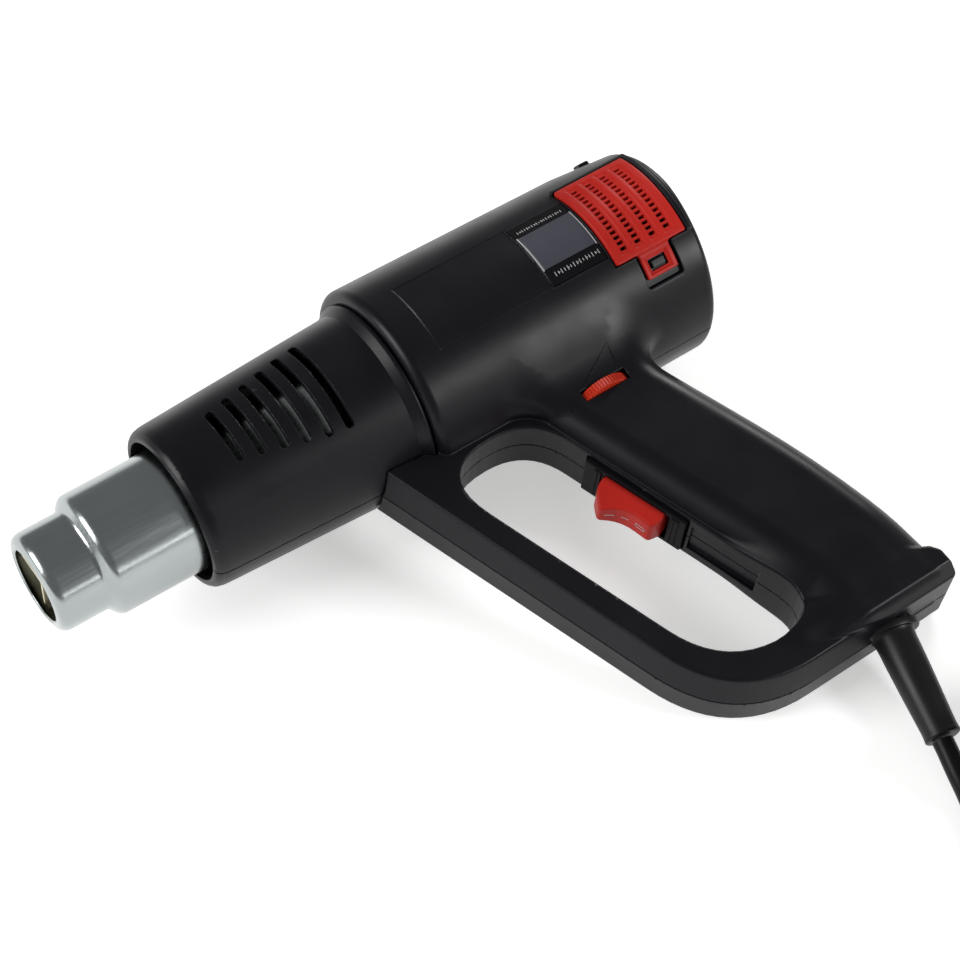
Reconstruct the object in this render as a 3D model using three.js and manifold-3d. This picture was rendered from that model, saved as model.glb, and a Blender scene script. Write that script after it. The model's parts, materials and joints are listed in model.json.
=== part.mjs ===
// Heat gun with a D-shaped guard, lying on its right side on a level surface.
// Millimetres. The finished group has +Z up, its origin under the middle of the gun.
// Inside the "gun" group the axes are the gun's own: X runs back from the nozzle
// tip along the barrel, Y points to the top of the gun and Z to its left side.
// The cord and its plug lie on the surface, so their points are in the part's axes.
import * as THREE from 'three';
import { mergeVertices } from 'three/addons/utils/BufferGeometryUtils.js';
import Module from 'manifold-3d';

const wasm = await Module();
wasm.setup();

// ---------------------------------------------------------------- dimensions
const GAP = 0.3; // between neighbouring pieces
const WALL = 2.6; // housing wall
const FAR = 400; // reaches past the whole gun

// Barrel casing
const BODY_RADIUS = 37.7;
const BODY_FRONT = 128.4;
const BODY_REAR = 244.4;
const BODY_NECK_RADIUS = 33;
const BODY_SIDES = 36;
const CAVITY_RADIUS = BODY_RADIUS - WALL - 0.1;
const CAVITY_FRONT = BODY_FRONT + WALL;
const CAVITY_REAR = BODY_REAR - WALL;

// Heat shield
const SHIELD_FRONT = 47;
const SHIELD_LIP_RADIUS = 29;
const SHIELD_REAR_RADIUS = 32.4;
const SHIELD_REAR = 123.4;
const SHIELD_MOUTH_RADIUS = 25;
const SHIELD_WALL = 2.2;
const SHIELD_SLOT_FIRST = 67.9;
const SHIELD_SLOT_PITCH = 7.25;
const SHIELD_SLOT_HALF_HEIGHTS = [10.3, 12, 13.6, 15.3, 17, 17.8];
const SHIELD_SLOT_WIDTH = 3;

// Nozzle and heating element
const NOZZLE_TIP = -3;
const NOZZLE_TIP_RADIUS = 17.5;
const NOZZLE_MOUTH_RADIUS = 12.9;
const NOZZLE_TUBE_RADIUS = 21.4;
const NOZZLE_WALL = 0.8;
const NOZZLE_REAR = 125.8;
const ELEMENT_FRONT = -0.6;
const ELEMENT_REAR = 122;
const COIL_RADIUS = 16.4;
const COIL_WIRE_RADIUS = 0.8;
const COIL_TURNS = 8;

// Motor and fan, all on the barrel axis
const MOTOR_FRONT = 154;
const MOTOR_REAR = 188;
const MOTOR_RADIUS = 14;
const SHAFT_RADIUS = 1.15;
const SHAFT_HOLE_RADIUS = 1.6;
const FAN_FRONT = 194;
const FAN_REAR = 208;
const FAN_RADIUS = 32.4;
const FAN_BLADES = 9;
const DUCT_FRONT = 156;
const DUCT_REAR = 210.5;

// Handle, guard and base
const HANDLE_HALF = 17.5;
const GUARD_HALF = 10.5;
const BASE_HALF = 15;
const SHOULDER_HALF = 21;
const HANDLE_LEAN = THREE.MathUtils.degToRad(19.1);
const GRIP_ORIGIN = new THREE.Vector2(168.7, -57.6);

// Intake cover on the left side. Angles are measured round the barrel from its top.
const COVER = { front: 209.9, rear: 238.4, from: 61, to: 117, inner: 36.9, outer: 39.1 };
const COVER_ROWS = [215, 220.9, 226.9, 232.9];
const COVER_SLOTS = { from: 67, to: 111 };
const TAB_HOLE = { front: 221.2, rear: 228.2, from: 121.5, to: 127.9 };
const TAB = { front: 218.6, rear: 231, from: 115, to: 131.3, inner: 36.1, outer: 37.7 };
const PAD = { front: 209.2, rear: 240.9, from: 57.5, to: 118, outer: 39 };
const LABEL = { front: 186.3, rear: 208.7, from: 69.4, to: 110.6, inner: 37, outer: 37.6 };
const INTAKE_HALF_HEIGHT = 14;

// Switch and temperature wheel
const SWITCH_MIDDLE = 23.3; // down the grip from GRIP_ORIGIN
const SWITCH_TILT = THREE.MathUtils.degToRad(12); // the rocker's lower end is pressed in
const WHEEL_X = 186;
const WHEEL_Y = -45;
const WHEEL_Z = 8.6;
const WHEEL_RADIUS = 14;
const WHEEL_THICKNESS = 3.4;

// Strain relief and cord
const CORD_RADIUS = 3.5;
const BOOT_ROOT = new THREE.Vector3(216.6, -160, 0);
const BOOT_TIP = new THREE.Vector3(206.9, -199.5, -3);

// The gun rests on the barrel casing and on the lower end of the handle's right side.
const HANDLE_REST_Y = 143;
const restDistance = Math.hypot(HANDLE_HALF, HANDLE_REST_Y);
const ROLL = Math.asin(BODY_RADIUS / restDistance) - Math.atan2(HANDLE_HALF, HANDLE_REST_Y);

// ------------------------------------------------------------------- shapes
/** A closed mesh as a solid, turned so that its faces point out. */
function solid(geometry) {
  const bare = geometry.clone();
  bare.deleteAttribute('normal');
  bare.deleteAttribute('uv');
  const merged = mergeVertices(bare, 1e-4);
  const index = merged.index.array;
  const at = merged.attributes.position;
  const corners = [new THREE.Vector3(), new THREE.Vector3(), new THREE.Vector3()];
  const kept = [];
  let volume = 0;
  for (let i = 0; i < index.length; i += 3) {
    const [a, b, c] = [index[i], index[i + 1], index[i + 2]];
    if (a === b || b === c || c === a) continue;
    kept.push(a, b, c);
    corners.forEach((corner, k) => corner.fromBufferAttribute(at, index[i + k]));
    volume += corners[0].dot(corners[1].clone().cross(corners[2]));
  }
  if (volume < 0) kept.reverse();
  return new wasm.Manifold(
    new wasm.Mesh({
      numProp: 3,
      vertProperties: new Float32Array(at.array),
      triVerts: new Uint32Array(kept),
    }),
  );
}

/** A solid's surface as a geometry. */
function surface(body) {
  const mesh = body.getMesh();
  const geometry = new THREE.BufferGeometry();
  geometry.setAttribute('position', new THREE.BufferAttribute(mesh.vertProperties, 3));
  geometry.setIndex(new THREE.BufferAttribute(mesh.triVerts, 1));
  geometry.computeVertexNormals();
  return geometry;
}

/** The union of several solids. */
function join(...bodies) {
  return bodies.reduce((all, body) => all.add(body));
}

/** The first solid with the others cut out of it. */
function cut(body, ...tools) {
  return tools.reduce((rest, tool) => rest.subtract(tool), body);
}

/** A ring or disc round the X axis. Its outline is a loop of [x, radius] points. */
function turned(outline, sides = BODY_SIDES) {
  const points = outline.map(([x, radius]) => new THREE.Vector2(radius, x));
  const closed = outline.at(-1)[1] === 0 && outline[0][1] === 0;
  if (!closed) points.push(points[0].clone());
  return new THREE.LatheGeometry(points, sides).rotateZ(-Math.PI / 2);
}

/** A cylinder along X. */
function rod(radius, x0, x1, sides = 16, y = 0, z = 0) {
  return turned([[x0, 0], [x0, radius], [x1, radius], [x1, 0]], sides).translate(0, y, z);
}

/** A block given by its lowest and highest corners. */
function block(x0, x1, y0, y1, z0, z1) {
  const box = new THREE.BoxGeometry(x1 - x0, y1 - y0, z1 - z0);
  return box.translate((x0 + x1) / 2, (y0 + y1) / 2, (z0 + z1) / 2);
}

/** An outline of [x, y, corner radius] points, with its corners rounded. */
function rounded(points) {
  const shape = new THREE.Shape();
  points.forEach(([x, y, radius = 0], i) => {
    const corner = new THREE.Vector2(x, y);
    const before = new THREE.Vector2(...points.at(i - 1).slice(0, 2));
    const after = new THREE.Vector2(...points[(i + 1) % points.length].slice(0, 2));
    const from = corner.clone().add(before.sub(corner).setLength(radius));
    const to = corner.clone().add(after.sub(corner).setLength(radius));
    if (i === 0) shape.moveTo(from.x, from.y);
    else shape.lineTo(from.x, from.y);
    if (radius > 0) shape.quadraticCurveTo(x, y, to.x, to.y);
  });
  shape.closePath();
  return shape;
}

/** A slab of the given outline, centred on Z = 0, with rounded edges. */
function slab(shape, half, bevel, inset = 0, bevelSegments = 2, curveSegments = 4) {
  const geometry = new THREE.ExtrudeGeometry(shape, {
    depth: 2 * (half - bevel),
    steps: 1,
    curveSegments,
    bevelEnabled: bevel > 0,
    bevelThickness: bevel,
    bevelSize: bevel,
    bevelOffset: -bevel - inset,
    bevelSegments,
  });
  return geometry.translate(0, 0, bevel - half);
}

/** A curved plate round the barrel axis, between two angles from the top. */
function curvedPlate(inner, outer, from, to, x0, x1, curveSegments = 8) {
  const [a, b] = [from, to].map(THREE.MathUtils.degToRad);
  const shape = new THREE.Shape();
  shape.absarc(0, 0, outer, a, b, false);
  shape.absarc(0, 0, inner, b, a, true);
  shape.closePath();
  const plate = new THREE.ExtrudeGeometry(shape, {
    depth: x1 - x0,
    steps: 1,
    curveSegments,
    bevelEnabled: false,
  });
  // The section lies in the YZ plane and the length runs along X.
  const turn = new THREE.Matrix4().makeBasis(
    new THREE.Vector3(0, 1, 0),
    new THREE.Vector3(0, 0, 1),
    new THREE.Vector3(1, 0, 0),
  );
  return plate.applyMatrix4(turn).translate(x0, 0, 0);
}

/** A round bar along a curve. */
function bar(curve, radius, steps, sides = 8) {
  const section = new THREE.Shape();
  for (let i = 0; i < sides; i += 1) {
    const angle = (2 * Math.PI * i) / sides;
    const point = [radius * Math.cos(angle), radius * Math.sin(angle)];
    if (i === 0) section.moveTo(...point);
    else section.lineTo(...point);
  }
  section.closePath();
  return new THREE.ExtrudeGeometry(section, { steps, extrudePath: curve, bevelEnabled: false });
}

/** A bar through a list of [x, y, z] points. */
function wire(points, radius, steps, sides = 8) {
  const curve = new THREE.CatmullRomCurve3(points.map((p) => new THREE.Vector3(...p)), false, 'centripetal');
  return bar(curve, radius, steps, sides);
}

/** Moves a geometry from the grip's axes to the gun's: forward, down the grip, left. */
function onGrip(geometry, tilt = 0, pivot = [0, 0]) {
  geometry.translate(-pivot[0], -pivot[1], 0).rotateZ(tilt).translate(pivot[0], pivot[1], 0);
  return geometry.rotateZ(Math.PI + HANDLE_LEAN).translate(GRIP_ORIGIN.x, GRIP_ORIGIN.y, 0);
}

// ---------------------------------------------------------------- materials
function finish(color, roughness, metalness = 0) {
  return new THREE.MeshStandardMaterial({ color, roughness, metalness });
}
const blackPlastic = finish(0x17171b, 0.45);
const darkPlastic = finish(0x0f0f12, 0.5);
const redPlastic = finish(0xd4200f, 0.35);
const orangePlastic = finish(0xf03a12, 0.4);
const greyPlastic = finish(0x4a4b52, 0.4);
const creamPlastic = finish(0xe5dcc4, 0.55);
const steel = finish(0xc9ccd0, 0.18, 1);
const dullSteel = finish(0x8f9296, 0.35, 1);
const mica = finish(0xd8cfb6, 0.6);
const resistanceWire = finish(0x6d655c, 0.4, 1);
const copper = finish(0xb5703b, 0.35, 1);
const magnet = finish(0x2c2b2b, 0.6);
const circuitBoard = finish(0x1d5b33, 0.5);
const aluminium = finish(0xb4b7ba, 0.35, 1);
const rubber = finish(0x111113, 0.6);
const cordBlack = finish(0x0c0c0e, 0.35);
const foam = finish(0x202022, 0.95);

const part = new THREE.Group();
const gun = new THREE.Group();
gun.name = 'gun';
part.add(gun);

function place(name, geometry, material, parent = gun) {
  const mesh = new THREE.Mesh(geometry, material);
  mesh.name = name;
  parent.add(mesh);
  return mesh;
}

// ------------------------------------------------------------------ housing
const handleOutline = rounded([
  [161, -24],
  [203, -24],
  [209, -44],
  [235.5, -113.7, 27],
  [240.9, -149.8],
  [197.3, -150],
  [197.3, -140],
  [161, -35.2],
]);
const shoulderOutline = rounded([
  [166, -18],
  [207, -18],
  [210.5, -55],
  [174, -61],
]);
const baseOutline = rounded([
  [190, -149.5],
  [239.9, -147.5],
  [242.3, -151],
  [242.3, -158.2],
  [239.4, -161.2],
  [188, -161.2],
]);
const guardOutline = rounded([
  [105, -24],
  [203, -24],
  [228, -146],
  [235, -161.2],
  [152.4, -161.2, 32],
]);
guardOutline.holes.push(
  rounded([
    [121.6, -38.4, 19],
    [159.2, -147.5, 23],
    [198.4, -147.5, 18],
    [161.9, -38.4, 16],
  ]),
);
const bodyOutline = [
  [BODY_FRONT, 0],
  [BODY_FRONT, 34.9],
  [129.4, 36.4],
  [131.2, 37.3],
  [133.6, BODY_RADIUS],
  [BODY_REAR - 3, BODY_RADIUS],
  [BODY_REAR - 1, 36.8],
  [BODY_REAR, 34.8],
  [BODY_REAR, 0],
];
const cavityOutline = [
  [CAVITY_FRONT, 0],
  [CAVITY_FRONT, CAVITY_RADIUS],
  [DUCT_FRONT - GAP - 1.5, CAVITY_RADIUS],
  [DUCT_FRONT - GAP - 1.5, CAVITY_RADIUS - 1.8],
  [DUCT_FRONT - GAP, CAVITY_RADIUS - 1.8],
  [DUCT_FRONT - GAP, CAVITY_RADIUS],
  [DUCT_REAR + GAP, CAVITY_RADIUS],
  [DUCT_REAR + GAP, CAVITY_RADIUS - 1.4],
  [DUCT_REAR + GAP + 1.5, CAVITY_RADIUS - 1.4],
  [DUCT_REAR + GAP + 1.5, CAVITY_RADIUS],
  [CAVITY_REAR - 2.5, CAVITY_RADIUS],
  [CAVITY_REAR, 31],
  [CAVITY_REAR, 0],
];

// The housing halves are screwed together from the right: [x, y, length of the screw].
const HOUSING_SCREWS = [
  [117.5, -43.5, 15],
  [157.5, -145, 15],
  [139, 33.4, 20],
  [236, 32.6, 20],
  [231, -31.5, 20],
  [227.5, -133, 24],
  [205.5, -112, 24],
];
const SCREW_RADIUS = 1.5;
const SCREW_HEAD_RADIUS = 2.8;
const SCREW_HEAD_HEIGHT = 2.2;
const BOSS_RADIUS = 3.4;

/** How far the housing reaches to either side at a screw. */
function halfWidthAt(x, y) {
  if (y > -BODY_RADIUS) return Math.sqrt(BODY_RADIUS ** 2 - y ** 2);
  return x < 160 ? GUARD_HALF : HANDLE_HALF;
}

/** The same at the edge of the screw's head, where the barrel is narrower. */
function headDepthAt(x, y) {
  return halfWidthAt(x, y > -BODY_RADIUS ? Math.abs(y) + SCREW_HEAD_RADIUS : y);
}

/** A cylinder along Z. */
function post(x, y, radius, z0, z1, sides = 10) {
  return new THREE.CylinderGeometry(radius, radius, z1 - z0, sides)
    .rotateX(Math.PI / 2)
    .translate(x, y, (z0 + z1) / 2);
}

function housing() {
  const shieldSpace = turned([[0, 0], [0, 60], [44, 60], [44, SHIELD_LIP_RADIUS + GAP],
    [SHIELD_REAR, SHIELD_REAR_RADIUS + GAP], [126.6, 35], [BODY_FRONT, 35], [BODY_FRONT, 0]]);
  const pad = curvedPlate(30, PAD.outer, PAD.from, PAD.to, PAD.front, PAD.rear);
  const outside = join(
    solid(turned(bodyOutline)),
    solid(slab(handleOutline, HANDLE_HALF, 7, 0, 3)),
    solid(slab(shoulderOutline, SHOULDER_HALF, 8)),
    solid(slab(baseOutline, BASE_HALF, 2.5)),
    cut(solid(slab(guardOutline, GUARD_HALF, 2)), solid(shieldSpace)),
    solid(pad),
  );
  const inside = join(
    solid(turned(cavityOutline)),
    solid(slab(handleOutline, HANDLE_HALF - WALL, 5.5, WALL, 1)),
    solid(slab(shoulderOutline, SHOULDER_HALF - WALL, 6, WALL, 1)),
    solid(slab(baseOutline, BASE_HALF - WALL, 1, WALL, 1)),
    cut(
      solid(slab(guardOutline, GUARD_HALF - WALL, 1, WALL, 1)),
      solid(block(0, 134, -35.6, FAR, -FAR, FAR)),
    ),
  );
  const bosses = HOUSING_SCREWS.map(([x, y]) => {
    const half = halfWidthAt(x, y) - 1;
    return solid(post(x, y, BOSS_RADIUS, -half, half));
  });
  const neck = rod(BODY_NECK_RADIUS, BODY_FRONT - 1, CAVITY_FRONT + 1, BODY_SIDES);
  const shell = join(cut(outside, inside), ...bosses.map((boss) => boss.intersect(outside)));
  return cut(
    shell,
    solid(neck),
    ...HOUSING_SCREWS.map(([x, y, length]) => screwHole(x, y, length)),
    ...openings(),
  );
}

/** The space that a screw and its head take, with clearance. */
function screwHole(x, y, length) {
  const outer = -headDepthAt(x, y);
  const head = post(x, y, SCREW_HEAD_RADIUS + GAP, -FAR, outer + SCREW_HEAD_HEIGHT + 1.2);
  const shank = post(x, y, SCREW_RADIUS + GAP, outer - 1, outer + 1 + length + GAP);
  return join(solid(head), solid(shank));
}

function openings() {
  const coverSpace = curvedPlate(COVER.inner - GAP, FAR, COVER.from - 0.5, COVER.to + 0.5,
    COVER.front - 0.4, COVER.rear + 0.4);
  const tabSpace = cut(
    solid(curvedPlate(TAB.inner - GAP, FAR, TAB.from - 2, TAB.to + 4.2, TAB.front - 1, TAB.rear + 1)),
    solid(curvedPlate(30, TAB.outer - 0.5, 122.6, 126.8, 222, 227.4)),
  );
  const labelSpace = curvedPlate(LABEL.inner - GAP, FAR, LABEL.from - 0.5, LABEL.to + 0.5,
    LABEL.front - GAP, LABEL.rear + GAP);
  const leftWindow = block(213, 236, -INTAKE_HALF_HEIGHT, INTAKE_HALF_HEIGHT, 20, FAR);
  const rightSlots = COVER_ROWS.map((x) =>
    solid(block(x - 1.5, x + 1.5, -INTAKE_HALF_HEIGHT, INTAKE_HALF_HEIGHT, -FAR, -20)));
  const [wheelLow, wheelHigh] = [WHEEL_Y - 2.1, WHEEL_Y + 2.1];
  const wheelSlot = block(WHEEL_X - 11, WHEEL_X + 11, wheelLow, wheelHigh, 8, FAR);
  const wheelSpace = block(WHEEL_X - 14.4, WHEEL_X + 14.4, wheelLow, wheelHigh, 8, 17.6);
  const switchHole = onGrip(block(-9, 10, SWITCH_MIDDLE - 18, SWITCH_MIDDLE + 18, -9, 9));
  const bootHole = bootGeometry(GAP);
  return [
    solid(coverSpace),
    tabSpace,
    solid(labelSpace),
    solid(leftWindow),
    ...rightSlots,
    solid(wheelSlot),
    solid(wheelSpace),
    solid(switchHole),
    solid(bootHole),
  ];
}

const SEAM = GAP / 2;

/** Splits a solid at the seam into its left and right halves. */
function placeHalves(name, body) {
  const left = solid(block(-FAR, FAR, -FAR, FAR, SEAM, FAR));
  const right = solid(block(-FAR, FAR, -FAR, FAR, -FAR, -SEAM));
  place(`left_${name}`, surface(body.intersect(left)), blackPlastic);
  place(`right_${name}`, surface(body.intersect(right)), blackPlastic);
}
placeHalves('housing', housing());

HOUSING_SCREWS.forEach(([x, y, length], i) => {
  const outer = -headDepthAt(x, y) + 1;
  const head = post(x, y, SCREW_HEAD_RADIUS, outer, outer + SCREW_HEAD_HEIGHT);
  const shank = post(x, y, SCREW_RADIUS, outer + 1, outer + length - GAP);
  place(`housing_screw_${i + 1}`, surface(join(solid(head), solid(shank))), dullSteel);
});

// -------------------------------------------------------------- heat shield
function shield() {
  const flangeFront = CAVITY_FRONT + GAP;
  const body = solid(turned([
    [SHIELD_FRONT, SHIELD_MOUTH_RADIUS],
    [SHIELD_FRONT, 26.4],
    [48.2, 27.9],
    [50.6, 28.8],
    [53, SHIELD_LIP_RADIUS + 0.05],
    [SHIELD_REAR, SHIELD_REAR_RADIUS],
    [126.4, 34.6],
    [BODY_FRONT - 0.9, 34.6],
    [BODY_FRONT - 0.9, BODY_NECK_RADIUS - GAP],
    [flangeFront, BODY_NECK_RADIUS - GAP],
    [flangeFront, CAVITY_RADIUS - 0.4],
    [flangeFront + 2, CAVITY_RADIUS - 0.4],
    [flangeFront + 2, SHIELD_REAR_RADIUS - SHIELD_WALL],
    [SHIELD_REAR, SHIELD_REAR_RADIUS - SHIELD_WALL],
    [53, SHIELD_LIP_RADIUS - SHIELD_WALL],
    [50, SHIELD_MOUTH_RADIUS],
  ]));
  const slots = SHIELD_SLOT_HALF_HEIGHTS.flatMap((half, i) => {
    const x = SHIELD_SLOT_FIRST + i * SHIELD_SLOT_PITCH;
    const [x0, x1] = [x - SHIELD_SLOT_WIDTH / 2, x + SHIELD_SLOT_WIDTH / 2];
    return [solid(block(x0, x1, -half, half, 15, FAR)), solid(block(x0, x1, -half, half, -FAR, -15))];
  });
  return cut(body, ...slots);
}
placeHalves('heat_shield', shield());

// ------------------------------------------------------ nozzle and element
const NOZZLE_SIDES = 28;
const tubeInner = NOZZLE_TUBE_RADIUS - NOZZLE_WALL;
const tipInner = NOZZLE_TIP_RADIUS - NOZZLE_WALL;
place('nozzle_tube', turned([
  [NOZZLE_TIP + 0.5, NOZZLE_MOUTH_RADIUS],
  [NOZZLE_TIP, 13.6],
  [NOZZLE_TIP + 1, 15.4],
  [NOZZLE_TIP + 2.9, 16.8],
  [NOZZLE_TIP + 5.6, NOZZLE_TIP_RADIUS],
  [13.2, NOZZLE_TIP_RADIUS],
  [14.4, 18.4],
  [16.2, 20.7],
  [17.8, NOZZLE_TUBE_RADIUS],
  [NOZZLE_REAR - 1.2, NOZZLE_TUBE_RADIUS],
  [NOZZLE_REAR - 1.2, 29.6],
  [NOZZLE_REAR, 29.6],
  [NOZZLE_REAR, tubeInner],
  [18.2, tubeInner],
  [16.7, 20],
  [14.9, 17.8],
  [13.5, tipInner],
  [NOZZLE_TIP + 5.7, tipInner],
  [NOZZLE_TIP + 3.4, 16],
  [NOZZLE_TIP + 1.6, 14.7],
  [NOZZLE_TIP + 1, NOZZLE_MOUTH_RADIUS],
], NOZZLE_SIDES), steel);

const SLEEVE_OUTER = tubeInner - 0.4;
const SLEEVE_INNER = SLEEVE_OUTER - 0.8;
place('mica_sleeve', turned([
  [20, SLEEVE_INNER],
  [20, SLEEVE_OUTER],
  [ELEMENT_REAR, SLEEVE_OUTER],
  [ELEMENT_REAR, SLEEVE_INNER],
], 24), mica);

/** One of the two crossed plates that carry the heating wire. */
function elementPlate() {
  const [tip, waist, full] = [15, 14, SLEEVE_INNER - 0.4];
  const half = [[ELEMENT_FRONT, 13.2], [ELEMENT_FRONT + 3, tip], [14, tip], [20.5, full], [24, full],
    [24, waist], [116, waist], [116, full], [ELEMENT_REAR, full]];
  const mirrored = half.map(([x, y]) => [x, -y]).reverse();
  return slab(rounded([...half, ...mirrored]), 0.45, 0);
}
place('element_core', surface(join(solid(elementPlate()), solid(elementPlate().rotateX(Math.PI / 2)))), mica);

class Helix extends THREE.Curve {
  getPoint(t, target = new THREE.Vector3()) {
    const angle = 2 * Math.PI * COIL_TURNS * t;
    return target.set(29 + 82 * t, COIL_RADIUS * Math.cos(angle), COIL_RADIUS * Math.sin(angle));
  }
}
place('heating_coil', bar(new Helix(), COIL_WIRE_RADIUS, 10 * COIL_TURNS, 5), resistanceWire);
place('thermal_cutoff', rod(2.1, 96, 106, 10, 5, 5), dullSteel);

const END_DISC_FRONT = NOZZLE_REAR + GAP;
function endDisc() {
  const disc = solid(rod(29.6, END_DISC_FRONT, END_DISC_FRONT + 1.2, NOZZLE_SIDES));
  const holes = [0, 1, 2, 3].map((i) => {
    const angle = Math.PI / 4 + (i * Math.PI) / 2;
    const [y, z] = [11.5 * Math.cos(angle), 11.5 * Math.sin(angle)];
    return solid(rod(6.8, END_DISC_FRONT - 1, END_DISC_FRONT + 3, 12, y, z));
  });
  return cut(disc, ...holes);
}
place('element_end_disc', surface(endDisc()), mica);

// ------------------------------------------------------------ motor and fan
place('motor_can', turned([
  [MOTOR_FRONT, MOTOR_RADIUS - 1.2],
  [MOTOR_FRONT, MOTOR_RADIUS],
  [MOTOR_REAR, MOTOR_RADIUS],
  [MOTOR_REAR, 4],
  [MOTOR_REAR + 2, 4],
  [MOTOR_REAR + 2, SHAFT_HOLE_RADIUS],
  [MOTOR_REAR - 1.2, SHAFT_HOLE_RADIUS],
  [MOTOR_REAR - 1.2, MOTOR_RADIUS - 1.2],
], 24), steel);
place('motor_end_cap', turned([
  [MOTOR_FRONT - 3.3, SHAFT_HOLE_RADIUS],
  [MOTOR_FRONT - 3.3, MOTOR_RADIUS],
  [MOTOR_FRONT - GAP, MOTOR_RADIUS],
  [MOTOR_FRONT - GAP, SHAFT_HOLE_RADIUS],
], 24), creamPlastic);
for (const [name, middle] of [['motor_magnet_left', 90], ['motor_magnet_right', 270]]) {
  place(name, curvedPlate(10.6, 12.4, middle - 62, middle + 62, MOTOR_FRONT + 4, MOTOR_REAR - 4), magnet);
}
place('motor_rotor', turned([
  [MOTOR_FRONT - 5, 0],
  [MOTOR_FRONT - 5, SHAFT_RADIUS],
  [MOTOR_FRONT + 1.4, SHAFT_RADIUS],
  [MOTOR_FRONT + 1.4, 4],
  [MOTOR_FRONT + 6, 4],
  [MOTOR_FRONT + 6, 9.8],
  [MOTOR_REAR - 6, 9.8],
  [MOTOR_REAR - 6, SHAFT_RADIUS],
  [FAN_REAR + 1, SHAFT_RADIUS],
  [FAN_REAR + 1, 0],
], 20), copper);

function impeller() {
  const hub = solid(turned([
    [FAN_FRONT, SHAFT_RADIUS + GAP],
    [FAN_FRONT, 9],
    [FAN_REAR - 2, 9],
    [FAN_REAR, 6.5],
    [FAN_REAR, SHAFT_RADIUS + GAP],
  ], 18));
  const pitch = THREE.MathUtils.degToRad(38);
  const blades = Array.from({ length: FAN_BLADES }, (_, i) => {
    const blade = new THREE.BoxGeometry(15.5, FAN_RADIUS - 8, 1.3);
    blade.rotateY(pitch).translate((FAN_FRONT + FAN_REAR) / 2, (FAN_RADIUS + 8) / 2 - 0.6, 0);
    return solid(blade.rotateX((2 * Math.PI * i) / FAN_BLADES));
  });
  return join(hub, ...blades);
}
place('fan_impeller', surface(impeller()), darkPlastic);

function fanDuct() {
  const [outer, inner] = [CAVITY_RADIUS - GAP, CAVITY_RADIUS - GAP - 1.4];
  const tunnel = solid(turned([
    [DUCT_FRONT, inner], [DUCT_FRONT, outer], [DUCT_REAR, outer], [DUCT_REAR, inner],
  ]));
  const sleeve = solid(turned([
    [DUCT_FRONT, MOTOR_RADIUS + GAP],
    [DUCT_FRONT, MOTOR_RADIUS + 2],
    [MOTOR_REAR - 4, MOTOR_RADIUS + 2],
    [MOTOR_REAR - 4, MOTOR_RADIUS + GAP],
  ], 24));
  const vanes = [0, 1, 2, 3, 4].map((i) =>
    solid(block(DUCT_FRONT + 2, MOTOR_REAR - 6, MOTOR_RADIUS + 1, inner + 0.6, -0.8, 0.8)
      .rotateX((2 * Math.PI * i) / 5)));
  return join(tunnel, sleeve, ...vanes);
}
place('fan_duct', surface(fanDuct()), darkPlastic);

const BOARD_REAR = MOTOR_FRONT - 5.6;
place('rectifier_board', rod(12.5, BOARD_REAR - 1.5, BOARD_REAR, 20), circuitBoard);
[-6, -2, 2, 6].forEach((y, i) => {
  const diode = rod(1.4, BOARD_REAR - 7, BOARD_REAR - 1.5 - GAP, 8, y, -4);
  place(`rectifier_diode_${i + 1}`, diode, darkPlastic);
});

// ------------------------------------------------------------ intake cover
function intakeCover() {
  const plate = curvedPlate(COVER.inner, COVER.outer, COVER.from, COVER.to, COVER.front, COVER.rear);
  const tab = curvedPlate(TAB.inner, TAB.outer, TAB.from, TAB.to, TAB.front, TAB.rear);
  const tabHole = curvedPlate(30, 50, TAB_HOLE.from, TAB_HOLE.to, TAB_HOLE.front, TAB_HOLE.rear);
  const rows = COVER_ROWS.map((x) =>
    solid(curvedPlate(30, 50, COVER_SLOTS.from, COVER_SLOTS.to, x - 1, x + 1)));
  return cut(join(solid(plate), solid(tab)), solid(tabHole), ...rows);
}
place('intake_cover', surface(intakeCover()), redPlastic);
const FILTER_OUTER = CAVITY_RADIUS - GAP;
const FILTER_HALF_ANGLE = 26;
for (const [name, middle] of [['left_dust_filter', 90], ['right_dust_filter', 270]]) {
  const [from, to] = [middle - FILTER_HALF_ANGLE, middle + FILTER_HALF_ANGLE];
  place(name, curvedPlate(FILTER_OUTER - 1.5, FILTER_OUTER, from, to, 212.8, 236.6), foam);
}
const dataPlate = curvedPlate(LABEL.inner, LABEL.outer, LABEL.from, LABEL.to, LABEL.front, LABEL.rear);
place('data_plate', dataPlate, greyPlastic);

// ------------------------------------------------------ switch in the grip
const SWITCH_PIVOT = [-0.5, SWITCH_MIDDLE];
function rocker() {
  const [s, top] = [SWITCH_MIDDLE, -1.2];
  const profile = rounded([
    [top, s - 11.6],
    [2.6, s - 11.9],
    [9.3, s - 8, 3],
    [6.6, s, 4],
    [9.3, s + 8, 3],
    [2.6, s + 11.9],
    [top, s + 11.6],
  ]);
  return onGrip(slab(profile, 6.2, 1.2, 0, 1), SWITCH_TILT, SWITCH_PIVOT);
}
place('rocker_button', rocker(), redPlastic);

function switchBody() {
  const box = solid(onGrip(block(-24, 0.8, SWITCH_MIDDLE - 15, SWITCH_MIDDLE + 15, -8.5, 8.5)));
  const pocket = solid(onGrip(block(-5.4, 3, SWITCH_MIDDLE - 13.2, SWITCH_MIDDLE + 13.2, -6.8, 6.8)));
  return cut(box, pocket);
}
place('switch_body', surface(switchBody()), darkPlastic);

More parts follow.
